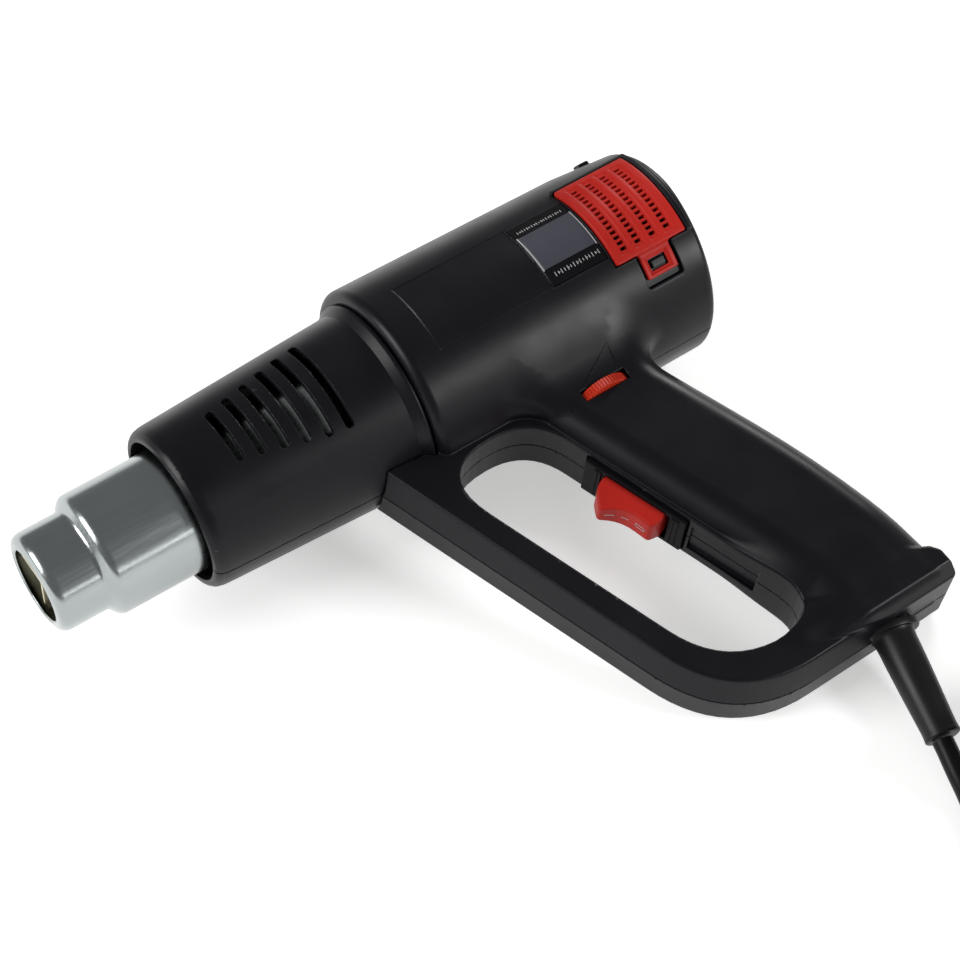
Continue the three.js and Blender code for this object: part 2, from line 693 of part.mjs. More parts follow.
function switchBezel() {
  const plate = solid(onGrip(block(1.1, 2.6, SWITCH_MIDDLE - 17.6, SWITCH_MIDDLE + 17.6, -8.6, 8.6)));
  const hole = solid(onGrip(block(-5, 6, SWITCH_MIDDLE - 12.9, SWITCH_MIDDLE + 12.9, -6.8, 6.8)));
  return cut(plate, hole);
}
place('switch_bezel', surface(switchBezel()), darkPlastic);

// --------------------------------------------------- temperature control
const WHEEL_SIDES = 36;
const WHEEL_GROOVES = 18;
function temperatureWheel() {
  const disc = new THREE.CylinderGeometry(WHEEL_RADIUS, WHEEL_RADIUS, WHEEL_THICKNESS, WHEEL_SIDES);
  const grooves = Array.from({ length: WHEEL_GROOVES }, (_, i) => {
    const groove = new THREE.BoxGeometry(1.2, 6, 1.1).translate(WHEEL_RADIUS, 0, 0);
    return solid(groove.rotateY((2 * Math.PI * (i + 0.25)) / WHEEL_GROOVES));
  });
  const bore = solid(new THREE.CylinderGeometry(3, 3, 8, 12));
  return surface(cut(solid(disc), bore, ...grooves)).translate(WHEEL_X, WHEEL_Y, WHEEL_Z);
}
place('temperature_wheel', temperatureWheel(), orangePlastic);

const BOARD_TOP = -53.4;
function potentiometer() {
  const [front, rear] = [WHEEL_X - 8, WHEEL_X + 8];
  const base = block(front, rear, BOARD_TOP + GAP, WHEEL_Y - 2.6, WHEEL_Z - 8, WHEEL_Z + 4.5);
  const spindle = new THREE.CylinderGeometry(2.6, 2.6, 6, 12).translate(WHEEL_X, WHEEL_Y, WHEEL_Z);
  return join(solid(base), solid(spindle));
}
place('potentiometer', surface(potentiometer()), darkPlastic);
place('control_board', block(178, 206, BOARD_TOP - 1.6, BOARD_TOP, -12, 12), circuitBoard);
place('triac', block(199, 203.5, BOARD_TOP + GAP, -38.5, -11, -1), darkPlastic);
place('triac_heat_sink', block(204, 206, BOARD_TOP + GAP, -36.5, -12, 4), aluminium);

// ------------------------------------------------- wiring inside the handle
place('filter_capacitor', block(207, 223, -106, -98, -6, 6), greyPlastic);
place('terminal_block', block(206, 226, -128, -120, -8, 8), creamPlastic);
// One lead runs from the terminals to the switch, the other one up to the control board.
const LEAD_RADIUS = 1.1;
const LIVE_ROUTE = [[221, -119, 4], [220, -108, 8], [215, -92, 8], [208, -80.5, 5], [202.2, -78.2, 4]];
const NEUTRAL_ROUTE = [
  [221, -119, -4],
  [222, -108, -8],
  [216, -88, -9],
  [209, -70, -9],
  [205, -60, -8],
  [204, -55.8, -8],
];
place('live_lead', wire(LIVE_ROUTE, LEAD_RADIUS, 12, 6), copper);
place('neutral_lead', wire(NEUTRAL_ROUTE, LEAD_RADIUS, 14, 6), cordBlack);

const CLAMP_Y = -143.5;
const CLAMP_SCREWS_X = [206.5, 225.5];
function cordClamp() {
  const yoke = solid(block(203.5, 228.5, CLAMP_Y - 2.5, CLAMP_Y + 2.5, 4, 8.5));
  const holes = CLAMP_SCREWS_X.map((x) => solid(post(x, CLAMP_Y, 1.8, 0, 10)));
  return cut(yoke, ...holes);
}
place('cord_clamp', surface(cordClamp()), greyPlastic);
CLAMP_SCREWS_X.forEach((x, i) => {
  const head = post(x, CLAMP_Y, 2.6, 8.8, 10.4);
  const shank = post(x, CLAMP_Y, 1.4, -3, 9);
  place(`clamp_screw_${i + 1}`, surface(join(solid(head), solid(shank))), dullSteel);
});
const TAIL_ROUTE = [[216, -152.9, 0], [216, -146, 0], [216, -137, 0], [216, -128.6, 0]];
place('cord_tail', wire(TAIL_ROUTE, CORD_RADIUS, 4), cordBlack);

// ------------------------------------------------------------ strain relief
/** The tapered boot, built along its own axis and then swung into place. */
function bootGeometry(extra = 0) {
  const along = BOOT_TIP.clone().sub(BOOT_ROOT);
  const length = along.length();
  const profile = [
    [-5.4 - extra, 0],
    [-5.4 - extra, 9 + extra],
    [-2.6 + extra, 9 + extra],
    [-2.6 + extra, 7 + extra],
    [0.9, 7 + extra],
    [0.9, 9.4],
    [3.4, 9.2],
    [6, 7.4],
    [12, 6.6],
    [length - 1, 5.7],
    [length, 5],
    [length, 0],
  ];
  const boot = turned(profile, 18);
  const swing = new THREE.Quaternion().setFromUnitVectors(new THREE.Vector3(1, 0, 0), along.normalize());
  return boot.applyQuaternion(swing).translate(BOOT_ROOT.x, BOOT_ROOT.y, BOOT_ROOT.z);
}
place('cord_boot', bootGeometry(), rubber);

// ------------------------------------------------------- lying on its side
gun.rotation.x = ROLL;
gun.updateMatrixWorld(true);
const lying = new THREE.Box3().setFromObject(gun, true);
const middle = lying.getCenter(new THREE.Vector3());
gun.position.set(-middle.x, -middle.y, -lying.min.z);

// ------------------------------------------------------------ cord and plug
// The cord drops from the boot to the surface and runs to its coil.
const CORD_START = [
  [85.3, -117.1, 6.3],
  [84.3, -121, 5.4],
  [83.1, -125, 4.5],
  [81.9, -129, 3.8],
  [80.6, -133, 3.6],
];
// Its far end slopes down from the top of the coil to the plug.
const CORD_END = [
  [163.5, -160.2, 19.2],
  [165.3, -153.4, 16.8],
  [167.1, -146.6, 14.7],
  [168.9, -139.9, 13.2],
  [170.8, -133.1, 12.7],
];
const COIL_CENTRE = [112.6, -175.5];
const COIL_RING = { inner: 27.8, outer: 49.2, low: 1, high: 29 };
const PLUG_LENGTH = 41;
const PLUG_FLATTENING = 0.7;
const PIN_SPACING = 19;
place('power_cord', wire(CORD_START, CORD_RADIUS, 4), cordBlack, part);
place('power_cord_end', wire(CORD_END, CORD_RADIUS, 4), cordBlack, part);

const coil = new THREE.Group();
coil.position.set(...COIL_CENTRE, 0);
part.add(coil);
place('power_cord_coil', new THREE.LatheGeometry([
  new THREE.Vector2(COIL_RING.inner, COIL_RING.low),
  new THREE.Vector2(COIL_RING.outer, COIL_RING.low),
  new THREE.Vector2(COIL_RING.outer, COIL_RING.high),
  new THREE.Vector2(COIL_RING.inner, COIL_RING.high),
  new THREE.Vector2(COIL_RING.inner, COIL_RING.low),
], 32).rotateX(Math.PI / 2), cordBlack, coil);

/** A flat strap round the coil's section. */
function coilTie() {
  const [width, thickness] = [8, 0.7];
  const [inner, outer] = [COIL_RING.inner - 0.7, COIL_RING.outer + GAP];
  const [low, high] = [thickness, COIL_RING.high + GAP];
  const outside = block(inner - thickness, outer + thickness, -width / 2, width / 2, 0, high + thickness);
  return cut(solid(outside), solid(block(inner, outer, -width, width, low, high)));
}
const tie = place('coil_tie', surface(coilTie()), rubber, coil);
tie.rotation.z = THREE.MathUtils.degToRad(-110);

const plug = new THREE.Group();
const [plugEntry, beforeEntry] = [CORD_END.at(-1), CORD_END.at(-2)];
const plugHeading = Math.atan2(plugEntry[1] - beforeEntry[1], plugEntry[0] - beforeEntry[0]);
plug.position.set(...plugEntry);
plug.rotation.z = plugHeading;
part.add(plug);
place('plug_body', turned([
  [2 * GAP, 0],
  [2 * GAP, 5],
  [9, 6.5],
  [15, 10],
  [22, 15.5],
  [30, 17.8],
  [PLUG_LENGTH - 2, 17.8],
  [PLUG_LENGTH, 16],
  [PLUG_LENGTH, 0],
], 20).scale(1, 1, PLUG_FLATTENING), rubber, plug);
[1, -1].forEach((side, i) => {
  const pinFront = PLUG_LENGTH + GAP;
  const pin = turned([
    [pinFront, 0],
    [pinFront, 2.4],
    [pinFront + 17.5, 2.4],
    [pinFront + 19, 1.4],
    [pinFront + 19, 0],
  ], 10).translate(0, (side * PIN_SPACING) / 2, 0);
  place(`plug_pin_${i + 1}`, pin, steel, plug);
});

export default part;
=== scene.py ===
"""The looks of the heat gun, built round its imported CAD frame.

Blender works in metres in the frame's own axes. The gun's pieces are shaped in the gun's
axes, in millimetres: X runs back along the barrel from near the nozzle tip, Y points to the
top of the gun and Z to its left side. The GUN matrix puts such a piece where the CAD gun lies.
"""
import json
import math
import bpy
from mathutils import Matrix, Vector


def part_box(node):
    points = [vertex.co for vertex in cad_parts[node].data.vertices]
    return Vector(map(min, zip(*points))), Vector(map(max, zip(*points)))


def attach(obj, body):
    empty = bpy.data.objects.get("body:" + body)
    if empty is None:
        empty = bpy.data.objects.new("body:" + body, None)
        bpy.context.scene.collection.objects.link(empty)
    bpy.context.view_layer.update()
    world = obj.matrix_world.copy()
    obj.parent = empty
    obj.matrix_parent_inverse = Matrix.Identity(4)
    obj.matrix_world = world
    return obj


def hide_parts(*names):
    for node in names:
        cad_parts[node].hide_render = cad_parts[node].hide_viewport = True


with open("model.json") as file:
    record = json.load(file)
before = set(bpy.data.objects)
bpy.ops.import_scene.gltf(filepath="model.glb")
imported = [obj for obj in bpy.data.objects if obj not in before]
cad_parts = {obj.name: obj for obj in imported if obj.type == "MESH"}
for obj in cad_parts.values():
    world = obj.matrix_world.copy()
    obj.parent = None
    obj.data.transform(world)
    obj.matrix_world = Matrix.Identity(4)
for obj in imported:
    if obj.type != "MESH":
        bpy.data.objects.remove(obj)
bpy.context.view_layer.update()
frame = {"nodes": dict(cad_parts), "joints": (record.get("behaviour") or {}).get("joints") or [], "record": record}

from concurrent.futures import ThreadPoolExecutor

import bmesh
import bpy
import numpy as np
import openvdb
from mathutils import Matrix, Quaternion, Vector

MM = 0.001

# ------------------------------------------------------------------ placement
JOINTS = {joint["name"]: joint for joint in frame["joints"]}
BARREL_POINT = Vector(JOINTS["fan_spin"]["pos_m"])
GUN_BACK = Vector((1, 0, 0))
GUN_UP = Vector(JOINTS["temperature_turn"]["axis"]).normalized()
GUN_LEFT = GUN_BACK.cross(GUN_UP)
NOZZLE_TIP = -3  # along the gun's X axis
GUN_ORIGIN = Vector((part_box("nozzle_tube")[0].x - NOZZLE_TIP * MM, BARREL_POINT.y, BARREL_POINT.z))
GUN = (
    Matrix.Translation(GUN_ORIGIN)
    @ Matrix((GUN_BACK, GUN_UP, GUN_LEFT)).transposed().to_4x4()
    @ Matrix.Scale(MM, 4)
)


# --------------------------------------------------------------------- camera
CAMERA_LENS = 90
CAMERA_SENSOR = 36
VIEW_AZIMUTH = math.radians(34.6)
VIEW_ELEVATION = math.radians(52.1)
VIEW_ROLL = math.radians(-1.18)
VIEW_TARGET = Vector((0.0143, 0.0325, 0.0377))
VIEW_DISTANCE = 0.7789


def add_camera():
    data = bpy.data.cameras.new("camera")
    data.lens = CAMERA_LENS
    data.sensor_width = CAMERA_SENSOR
    data.clip_start = 0.01
    camera = bpy.data.objects.new("camera", data)
    bpy.context.scene.collection.objects.link(camera)
    flat = math.cos(VIEW_ELEVATION)
    forward = Vector((
        flat * math.sin(VIEW_AZIMUTH),
        flat * math.cos(VIEW_AZIMUTH),
        -math.sin(VIEW_ELEVATION),
    ))
    turn = forward.to_track_quat("-Z", "Y") @ Quaternion((0, 0, 1), VIEW_ROLL)
    camera.rotation_mode = "QUATERNION"
    camera.rotation_quaternion = turn
    camera.location = VIEW_TARGET - forward * VIEW_DISTANCE
    bpy.context.scene.camera = camera


add_camera()


# ------------------------------------------------------------------ materials
def shader(name, color, roughness, metallic=0.0, shine=0.5):
    """A new material and its nodes, with the values that are the same all over."""
    material = bpy.data.materials.new(name)
    material.use_nodes = True
    nodes = material.node_tree.nodes
    surface = nodes["Principled BSDF"]
    surface.inputs["Base Color"].default_value = (*color, 1)
    surface.inputs["Roughness"].default_value = roughness
    surface.inputs["Metallic"].default_value = metallic
    surface.inputs["Specular IOR Level"].default_value = shine
    return material, surface


class Graph:
    """Adds and joins shader nodes in one material."""

    def __init__(self, material, surface):
        self.nodes = material.node_tree.nodes
        self.links = material.node_tree.links
        self.surface = surface
        self.place = self.nodes.new("ShaderNodeTexCoord").outputs["Object"]

    def noise(self, scale, detail=2.0, roughness=0.5, stretch=None):
        """Noise at a scale given in features per metre."""
        node = self.nodes.new("ShaderNodeTexNoise")
        node.inputs["Scale"].default_value = scale
        node.inputs["Detail"].default_value = detail
        node.inputs["Roughness"].default_value = roughness
        place = self.place
        if stretch:
            mapping = self.nodes.new("ShaderNodeMapping")
            mapping.inputs["Scale"].default_value = stretch
            self.links.new(self.place, mapping.inputs["Vector"])
            place = mapping.outputs["Vector"]
        self.links.new(place, node.inputs["Vector"])
        return node.outputs["Fac"]

    def spread(self, value, low, high, from_low=0.3, from_high=0.7):
        """The value stretched from one range to another."""
        node = self.nodes.new("ShaderNodeMapRange")
        node.inputs["From Min"].default_value = from_low
        node.inputs["From Max"].default_value = from_high
        node.inputs["To Min"].default_value = low
        node.inputs["To Max"].default_value = high
        self.links.new(value, node.inputs["Value"])
        return node.outputs["Result"]

    def blend(self, factor, first, second):
        """A colour between two, by a factor."""
        node = self.nodes.new("ShaderNodeMix")
        node.data_type = "RGBA"
        self.links.new(factor, node.inputs["Factor"])
        for socket, value in ((node.inputs["A"], first), (node.inputs["B"], second)):
            if isinstance(value, tuple):
                socket.default_value = (*value, 1)
            else:
                self.links.new(value, socket)
        return node.outputs["Result"]

    def bump(self, height, distance, strength=1.0):
        """A bump of the given depth in metres."""
        node = self.nodes.new("ShaderNodeBump")
        node.inputs["Strength"].default_value = strength
        node.inputs["Distance"].default_value = distance
        self.links.new(height, node.inputs["Height"])
        self.links.new(node.outputs["Normal"], self.surface.inputs["Normal"])

    def worn_edges(self):
        """About 1 on sharp outer edges and 0 elsewhere."""
        node = self.nodes.new("ShaderNodeNewGeometry")
        return self.spread(node.outputs["Pointiness"], 0, 1, 0.53, 0.62)

    def set(self, socket, value):
        self.links.new(value, self.surface.inputs[socket])


def moulded_plastic(name, color, roughness, grain=0.00002, grain_scale=2600, worn=None, shine=0.2):
    """Plastic with a fine moulded grain, uneven gloss and edges that are rubbed a little."""
    material, surface = shader(name, color, roughness, shine=shine)
    graph = Graph(material, surface)
    cloud = graph.noise(55, 3)
    graph.set("Roughness", graph.spread(cloud, roughness - 0.05, roughness + 0.05))
    shade = tuple(channel * 0.8 for channel in color)
    body = graph.blend(graph.spread(graph.noise(30, 4), 0, 1), shade, color)
    if worn:
        body = graph.blend(graph.worn_edges(), body, worn)
    graph.set("Base Color", body)
    graph.bump(graph.noise(grain_scale, 2, 0.6), grain)
    return material


def polished_metal(name, color, roughness, streak=(1, 1, 1)):
    """Metal with fine drawn or turned streaks."""
    material, surface = shader(name, color, roughness, 1.0)
    graph = Graph(material, surface)
    lines = graph.noise(900, 3, 0.6, streak)
    graph.set("Roughness", graph.spread(lines, roughness - 0.03, roughness + 0.05))
    smudge = graph.spread(graph.noise(45, 4), 0, 1)
    graph.set("Base Color", graph.blend(smudge, tuple(c * 0.93 for c in color), color))
    graph.bump(lines, 0.000004)
    return material


def rough_solid(name, color, roughness, grain, grain_scale):
    """A matt material with a coarse grain, such as mica, foam or board."""
    material, surface = shader(name, color, roughness)
    graph = Graph(material, surface)
    speckle = graph.noise(grain_scale, 3, 0.65)
    dark = tuple(channel * 0.72 for channel in color)
    graph.set("Base Color", graph.blend(graph.spread(speckle, 0, 1), dark, color))
    graph.bump(speckle, grain)
    return material


BLACK = (0.0042, 0.0040, 0.0062)
MATERIALS = {
    "black_plastic": moulded_plastic("black plastic", BLACK, 0.37, worn=(0.03, 0.03, 0.035)),
    "dark_plastic": moulded_plastic("dark plastic", (0.004, 0.004, 0.005), 0.5, shine=0.1),
    "red_plastic": moulded_plastic("red plastic", (0.47, 0.019, 0.013), 0.4, 0.00001, 1800, shine=0.12),
    "orange_plastic": moulded_plastic("orange plastic", (0.54, 0.032, 0.011), 0.38),
    "grey_plastic": moulded_plastic("grey plastic", (0.055, 0.056, 0.072), 0.34, 0.00001),
    "cream_plastic": moulded_plastic("cream plastic", (0.76, 0.70, 0.54), 0.5),
    "label_black": moulded_plastic("label black", (0.004, 0.004, 0.005), 0.22, 0.000006),
    "white_print": moulded_plastic("white print", (0.42, 0.42, 0.43), 0.45, 0.000006),
    "nozzle_steel": polished_metal("nozzle steel", (0.37, 0.40, 0.40), 0.22, (0.05, 1, 1)),
    "steel": polished_metal("steel", (0.60, 0.61, 0.62), 0.24),
    "screw_steel": polished_metal("screw steel", (0.34, 0.35, 0.36), 0.3),
    "aluminium": polished_metal("aluminium", (0.62, 0.63, 0.64), 0.3, (0.05, 1, 1)),
    "copper": polished_metal("copper", (0.66, 0.30, 0.14), 0.3),
    "resistance_wire": polished_metal("resistance wire", (0.24, 0.21, 0.18), 0.4),
    "magnet": rough_solid("magnet", (0.04, 0.038, 0.038), 0.6, 0.00003, 900),
    "mica": rough_solid("mica", (0.70, 0.64, 0.46), 0.55, 0.00003, 500),
    "circuit_board": rough_solid("circuit board", (0.012, 0.10, 0.035), 0.4, 0.00001, 700),
    "filter_foam": rough_solid("filter foam", (0.02, 0.02, 0.022), 0.95, 0.0004, 1500),
    "black_rubber": moulded_plastic("black rubber", (0.008, 0.008, 0.009), 0.4, 0.000015, 1500),
    "cord_sheath": moulded_plastic("cord sheath", (0.005, 0.005, 0.006), 0.4, 0.000012, 900, shine=0.12),
}


# ------------------------------------------------------------- distance fields
# A field gives the distance from points to a surface, below 0 inside, in millimetres.
def length_of(*parts):
    return np.sqrt(sum(part * part for part in parts))


def both(a, b, edge=0.0):
    """The common part of two solids, with a rounded edge where they cross."""
    if edge == 0:
        return np.maximum(a, b)
    a, b = a + edge, b + edge
    return np.minimum(np.maximum(a, b), 0) + length_of(np.maximum(a, 0), np.maximum(b, 0)) - edge


def either(a, b, fillet):
    """The union of two solids, with a fillet where they meet."""
    near = np.maximum(fillet - np.abs(a - b), 0) / fillet
    return np.minimum(a, b) - near * near * fillet / 4


def without(a, b, edge=0.0):
    """Solid a with solid b cut out of it."""
    return both(a, -b, edge)


def span(value, low, high):
    """The distance to a slab between two values."""
    return np.abs(value - (low + high) / 2) - (high - low) / 2


def brick(x, y, z, low, high, edge=0.0):
    across = both(span(x, low[0], high[0]), span(y, low[1], high[1]), edge)
    return both(across, span(z, low[2], high[2]), edge)


def outline(corners, steps=6):
    """The points of an outline of [x, y, corner radius] corners, with the corners rounded."""
    points = []
    for i, (x, y, *radius) in enumerate(corners):
        corner = np.array((x, y), float)
        if not radius:
            points.append(corner)
            continue
        before = np.array(corners[i - 1][:2], float) - corner
        after = np.array(corners[(i + 1) % len(corners)][:2], float) - corner
        start = before / np.linalg.norm(before) * radius[0]
        end = after / np.linalg.norm(after) * radius[0]
        for t in np.linspace(0, 1, steps + 1):
            points.append(corner + start * (1 - t) ** 2 + end * t ** 2)
    return points


def polygon(points, x, y):
    """The distance to a closed polygon."""
    nearest = None
    inside = None
    for i, (ax, ay) in enumerate(points):
        bx, by = points[i - 1]
        ex, ey = bx - ax, by - ay
        wx, wy = x - ax, y - ay
        share = np.clip((wx * ex + wy * ey) / (ex * ex + ey * ey), 0, 1)
        gap = (wx - ex * share) ** 2 + (wy - ey * share) ** 2
        crosses = (wx * ey - wy * ex > 0) == (ey > 0)
        crossing = ((ay > y) != (by > y)) & crosses
        nearest = gap if nearest is None else np.minimum(nearest, gap)
        inside = crossing if inside is None else inside ^ crossing
    return np.where(inside, -1, 1) * np.sqrt(nearest)


def slab(area, z, half, edge, draft=0.0):
    """A plate with the given outline field, drafted towards both of its faces."""
    return both(area + draft * np.abs(z) / half, np.abs(z) - half, edge)


def barrel_angle(y, z):
    """Degrees round the barrel from its top, positive to the left."""
    return np.degrees(np.arctan2(z, y))


def curved_plate(x, r, angle, inner, outer, start, end, front, rear, edge=0.0):
    """A plate bent round the barrel axis, between two angles from the top."""
    arc = np.radians(span(angle, start, end)) * r
    sides = both(arc, span(x, front, rear), edge)
    return both(sides, span(r, inner, outer), edge)


FIELD_BAND = 3.0
SLAB_CELLS = 24


def field_mesh(name, field, low, high, step, merge=0.02):
    """A mesh of the surface of a field inside a box, with the field's own normals."""
    grid = openvdb.FloatGrid(FIELD_BAND)
    counts = [int(math.ceil((b - a) / step)) + 1 for a, b in zip(low, high)]
    axes = [np.float32(a) + np.float32(step) * np.arange(n, dtype=np.float32) for a, n in zip(low, counts)]
    y = axes[1][None, :, None]
    z = axes[2][None, None, :]

    def slab_values(start):
        x = axes[0][start:start + SLAB_CELLS, None, None]
        values = np.clip(field(x, y, z) / step, -FIELD_BAND, FIELD_BAND)
        return np.ascontiguousarray(values, np.float32)

    starts = range(0, counts[0], SLAB_CELLS)
    with ThreadPoolExecutor(4) as pool:
        for start, values in zip(starts, pool.map(slab_values, starts)):
            grid.copyFromArray(values, ijk=(start, 0, 0))
    points, triangles, quads = grid.convertToPolygons(isovalue=0.0, adaptivity=merge)
    points = points * step + np.array(low, np.float32)
    faces = [tuple(face) for face in triangles.tolist()] + [tuple(face) for face in quads.tolist()]
    mesh = bpy.data.meshes.new(name)
    mesh.from_pydata(points.tolist(), [], faces)
    mesh.validate()
    shade_by_field(mesh, field, step)
    return mesh


def shade_by_field(mesh, field, step):
    """Gives each face corner the direction in which the field grows there."""
    places = np.zeros(len(mesh.vertices) * 3, np.float32)
    mesh.vertices.foreach_get("co", places)
    places = places.reshape(-1, 3)
    corners = np.zeros(len(mesh.loops), np.int32)
    mesh.loops.foreach_get("vertex_index", corners)
    sizes = np.zeros(len(mesh.polygons), np.int32)
    mesh.polygons.foreach_get("loop_total", sizes)
    face_of = np.repeat(np.arange(len(sizes)), sizes)
    centres = np.zeros(len(mesh.polygons) * 3, np.float32)
    mesh.polygons.foreach_get("center", centres)
    at = places[corners]
    inward = centres.reshape(-1, 3)[face_of] - at
    reach = np.maximum(np.linalg.norm(inward, axis=1, keepdims=True), 1e-6)
    at = at + inward / reach * np.minimum(reach * 0.2, 1.5 * step)
    slope = []
    for axis in range(3):
        nudge = np.zeros(3, np.float32)
        nudge[axis] = 0.5 * step
        ahead, behind = at + nudge, at - nudge
        slope.append(field(*ahead.T) - field(*behind.T))
    normals = np.stack(slope, 1)
    normals /= np.maximum(np.linalg.norm(normals, axis=1, keepdims=True), 1e-9)
    mesh.update()
    facing = np.zeros(len(mesh.polygons) * 3, np.float32)
    mesh.polygons.foreach_get("normal", facing)
    if (facing.reshape(-1, 3)[face_of] * normals).sum() < 0:
        mesh.flip_normals()
        order = np.arange(len(corners))
        starts = np.cumsum(sizes) - sizes
        within = order - starts[face_of]
        # flip_normals keeps each face's first corner and reverses the others
        back = np.where(within == 0, 0, sizes[face_of] - within)
        normals = normals[starts[face_of] + back]
    mesh.shade_smooth()
    mesh.normals_split_custom_set(normals.tolist())


# -------------------------------------------------------------------- pieces
def add_piece(name, mesh, material, body, slot, replaced=(), place=GUN):
    """A finished piece that rides on a body and may stand for CAD nodes."""
    piece = bpy.data.objects.new(name, mesh)
    bpy.context.scene.collection.objects.link(piece)
    mesh.transform(place)
    mesh.materials.append(MATERIALS[material])
    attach(piece, body)
    if replaced:
        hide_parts(*replaced)
    return piece


def mesh_of(name, vertices, faces, smooth=True):
    mesh = bpy.data.meshes.new(name)
    mesh.from_pydata([tuple(v) for v in vertices], [], faces)
    mesh.validate()
    if smooth:
        mesh.shade_smooth()
    return mesh


def loft_faces(rings, closed, first):
    """The faces of a skin over rings of the same number of points."""
    count = len(rings[0])
    faces = []
    for i in range(len(rings) if closed else len(rings) - 1):
        below, above = first + i * count, first + ((i + 1) % len(rings)) * count
        for k in range(count):
            after = (k + 1) % count
            faces.append((below + k, below + after, above + after, above + k))
    if not closed:
        last = first + (len(rings) - 1) * count
        faces.append(tuple(first + k for k in reversed(range(count))))
        faces.append(tuple(last + k for k in range(count)))
    return faces


def lofted(name, *skins, closed=False):
    """Skins over lists of rings, in one mesh. Each skin's ends are capped, or join up."""
    vertices = []
    faces = []
    for rings in skins:
        faces += loft_faces(rings, closed, len(vertices))
        vertices += [point for ring in rings for point in ring]
    mesh = mesh_of(name, vertices, faces)
    outward(mesh)
    return mesh


SHARP_ANGLE = math.radians(38)


def outward(mesh):
    """Turns all faces of a closed mesh to face out and keeps its sharp edges sharp."""
    work = bmesh.new()
    work.from_mesh(mesh)
    bmesh.ops.recalc_face_normals(work, faces=work.faces)
    for edge in work.edges:
        edge.smooth = len(edge.link_faces) == 2 and edge.calc_face_angle() < SHARP_ANGLE
    work.to_mesh(mesh)
    work.free()


def turned(name, profile, sides=96):
    """A closed [x, radius] profile turned round the X axis."""
    rings = []
    for i in range(sides):
        angle = 2 * math.pi * i / sides
        rings.append([(x, r * math.cos(angle), r * math.sin(angle)) for x, r in profile])
    return lofted(name, rings, closed=True)


# ------------------------------------------------------------- cord and plug
CORD_DIAMETER = 0.007
CORD_START = [
    (0.0853, -0.1171, 0.0063),
    (0.0843, -0.1210, 0.0054),
    (0.0831, -0.1250, 0.0045),
    (0.0819, -0.1290, 0.0038),
    (0.0806, -0.1330, 0.0036),
]
# From there it bends into the coil, and comes out of it again towards the plug.
COIL_IN = [(0.0779, -0.1399, 0.0037), (0.0750, -0.1468, 0.0040), (0.0721, -0.1538, 0.0043)]
COIL_OUT = [(0.1582, -0.1808, 0.0252), (0.1600, -0.1739, 0.0240), (0.1617, -0.1670, 0.0217)]
CORD_END = [
    (0.1635, -0.1602, 0.0192),
    (0.1653, -0.1534, 0.0168),
    (0.1671, -0.1466, 0.0147),
    (0.1689, -0.1399, 0.0132),
    (0.1708, -0.1331, 0.0127),
]
COIL_LOW, COIL_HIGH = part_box("power_cord_coil")
COIL_CENTRE = (COIL_LOW + COIL_HIGH) / 2
COIL_MIDDLE_RADIUS = 0.0385
COIL_TURNS = 7.51
COIL_LAYERS = 4
COIL_ENTRY_ANGLE = math.radians(161)
STEPS_PER_TURN = 48
LAYER_CHANGE = 0.14


def smooth_step(share):
    share = min(max(share, 0.0), 1.0)
    return share * share * (3 - 2 * share)


def coil_points():
    """The cord wound into its coil: one layer runs inwards and the next one back outwards."""
    per_layer = COIL_TURNS / COIL_LAYERS
    points = []
    for i in range(int(COIL_TURNS * STEPS_PER_TURN) + 1):
        turn = i / STEPS_PER_TURN
        layer = min(int(turn / per_layer), COIL_LAYERS - 1)
        within = turn / per_layer - layer
        across = 1 - 2 * within if layer % 2 == 0 else 2 * within - 1
        radius = COIL_MIDDLE_RADIUS + CORD_DIAMETER * across
        climb = smooth_step((within - 1 + LAYER_CHANGE) / LAYER_CHANGE)
        level = min(layer + climb, COIL_LAYERS - 1)
        angle = COIL_ENTRY_ANGLE + 2 * math.pi * turn
        points.append((
            COIL_CENTRE.x + radius * math.cos(angle),
            COIL_CENTRE.y + radius * math.sin(angle),
            COIL_LOW.z + CORD_DIAMETER * (level + 0.5),
        ))
    return points


PLUG_HEADING = math.atan2(CORD_END[-1][1] - CORD_END[-2][1], CORD_END[-1][0] - CORD_END[-2][0])
PLUG_PLACE = (
    Matrix.Translation(CORD_END[-1])
    @ Matrix.Rotation(PLUG_HEADING, 4, "Z")
    @ Matrix.Scale(MM, 4)
)
PLUG_PROFILE = [
    (0.6, 4.4), (0.9, 5.0), (4, 5.6), (9, 6.5), (12.5, 8.0), (15.5, 10.2), (18.5, 12.7), (22, 15.2),
    (26, 17.0), (30, 17.7), (39.4, 17.8), (40.5, 17.2), (41, 16),
]
PLUG_FLATTENING = 0.7
PLUG_RIBS = (5.2, 7.6, 10.0)
PIN_SPACING = 19
PIN_PROFILE = [
    (41.3, 2.0), (41.3, 2.4), (51, 2.4), (51.2, 2.3), (58.4, 2.3), (59.4, 2.1), (60, 1.6), (60.3, 0.8),
]
TIE_ANGLE = math.radians(-110)
TIE_WIDTH, TIE_THICKNESS = 0.008, 0.0007


def ellipse_ring(x, radius, flattening, sides):
    ring = []
    for i in range(sides):
        angle = 2 * math.pi * i / sides
        ring.append((x, radius * math.cos(angle), radius * flattening * math.sin(angle)))
    return ring


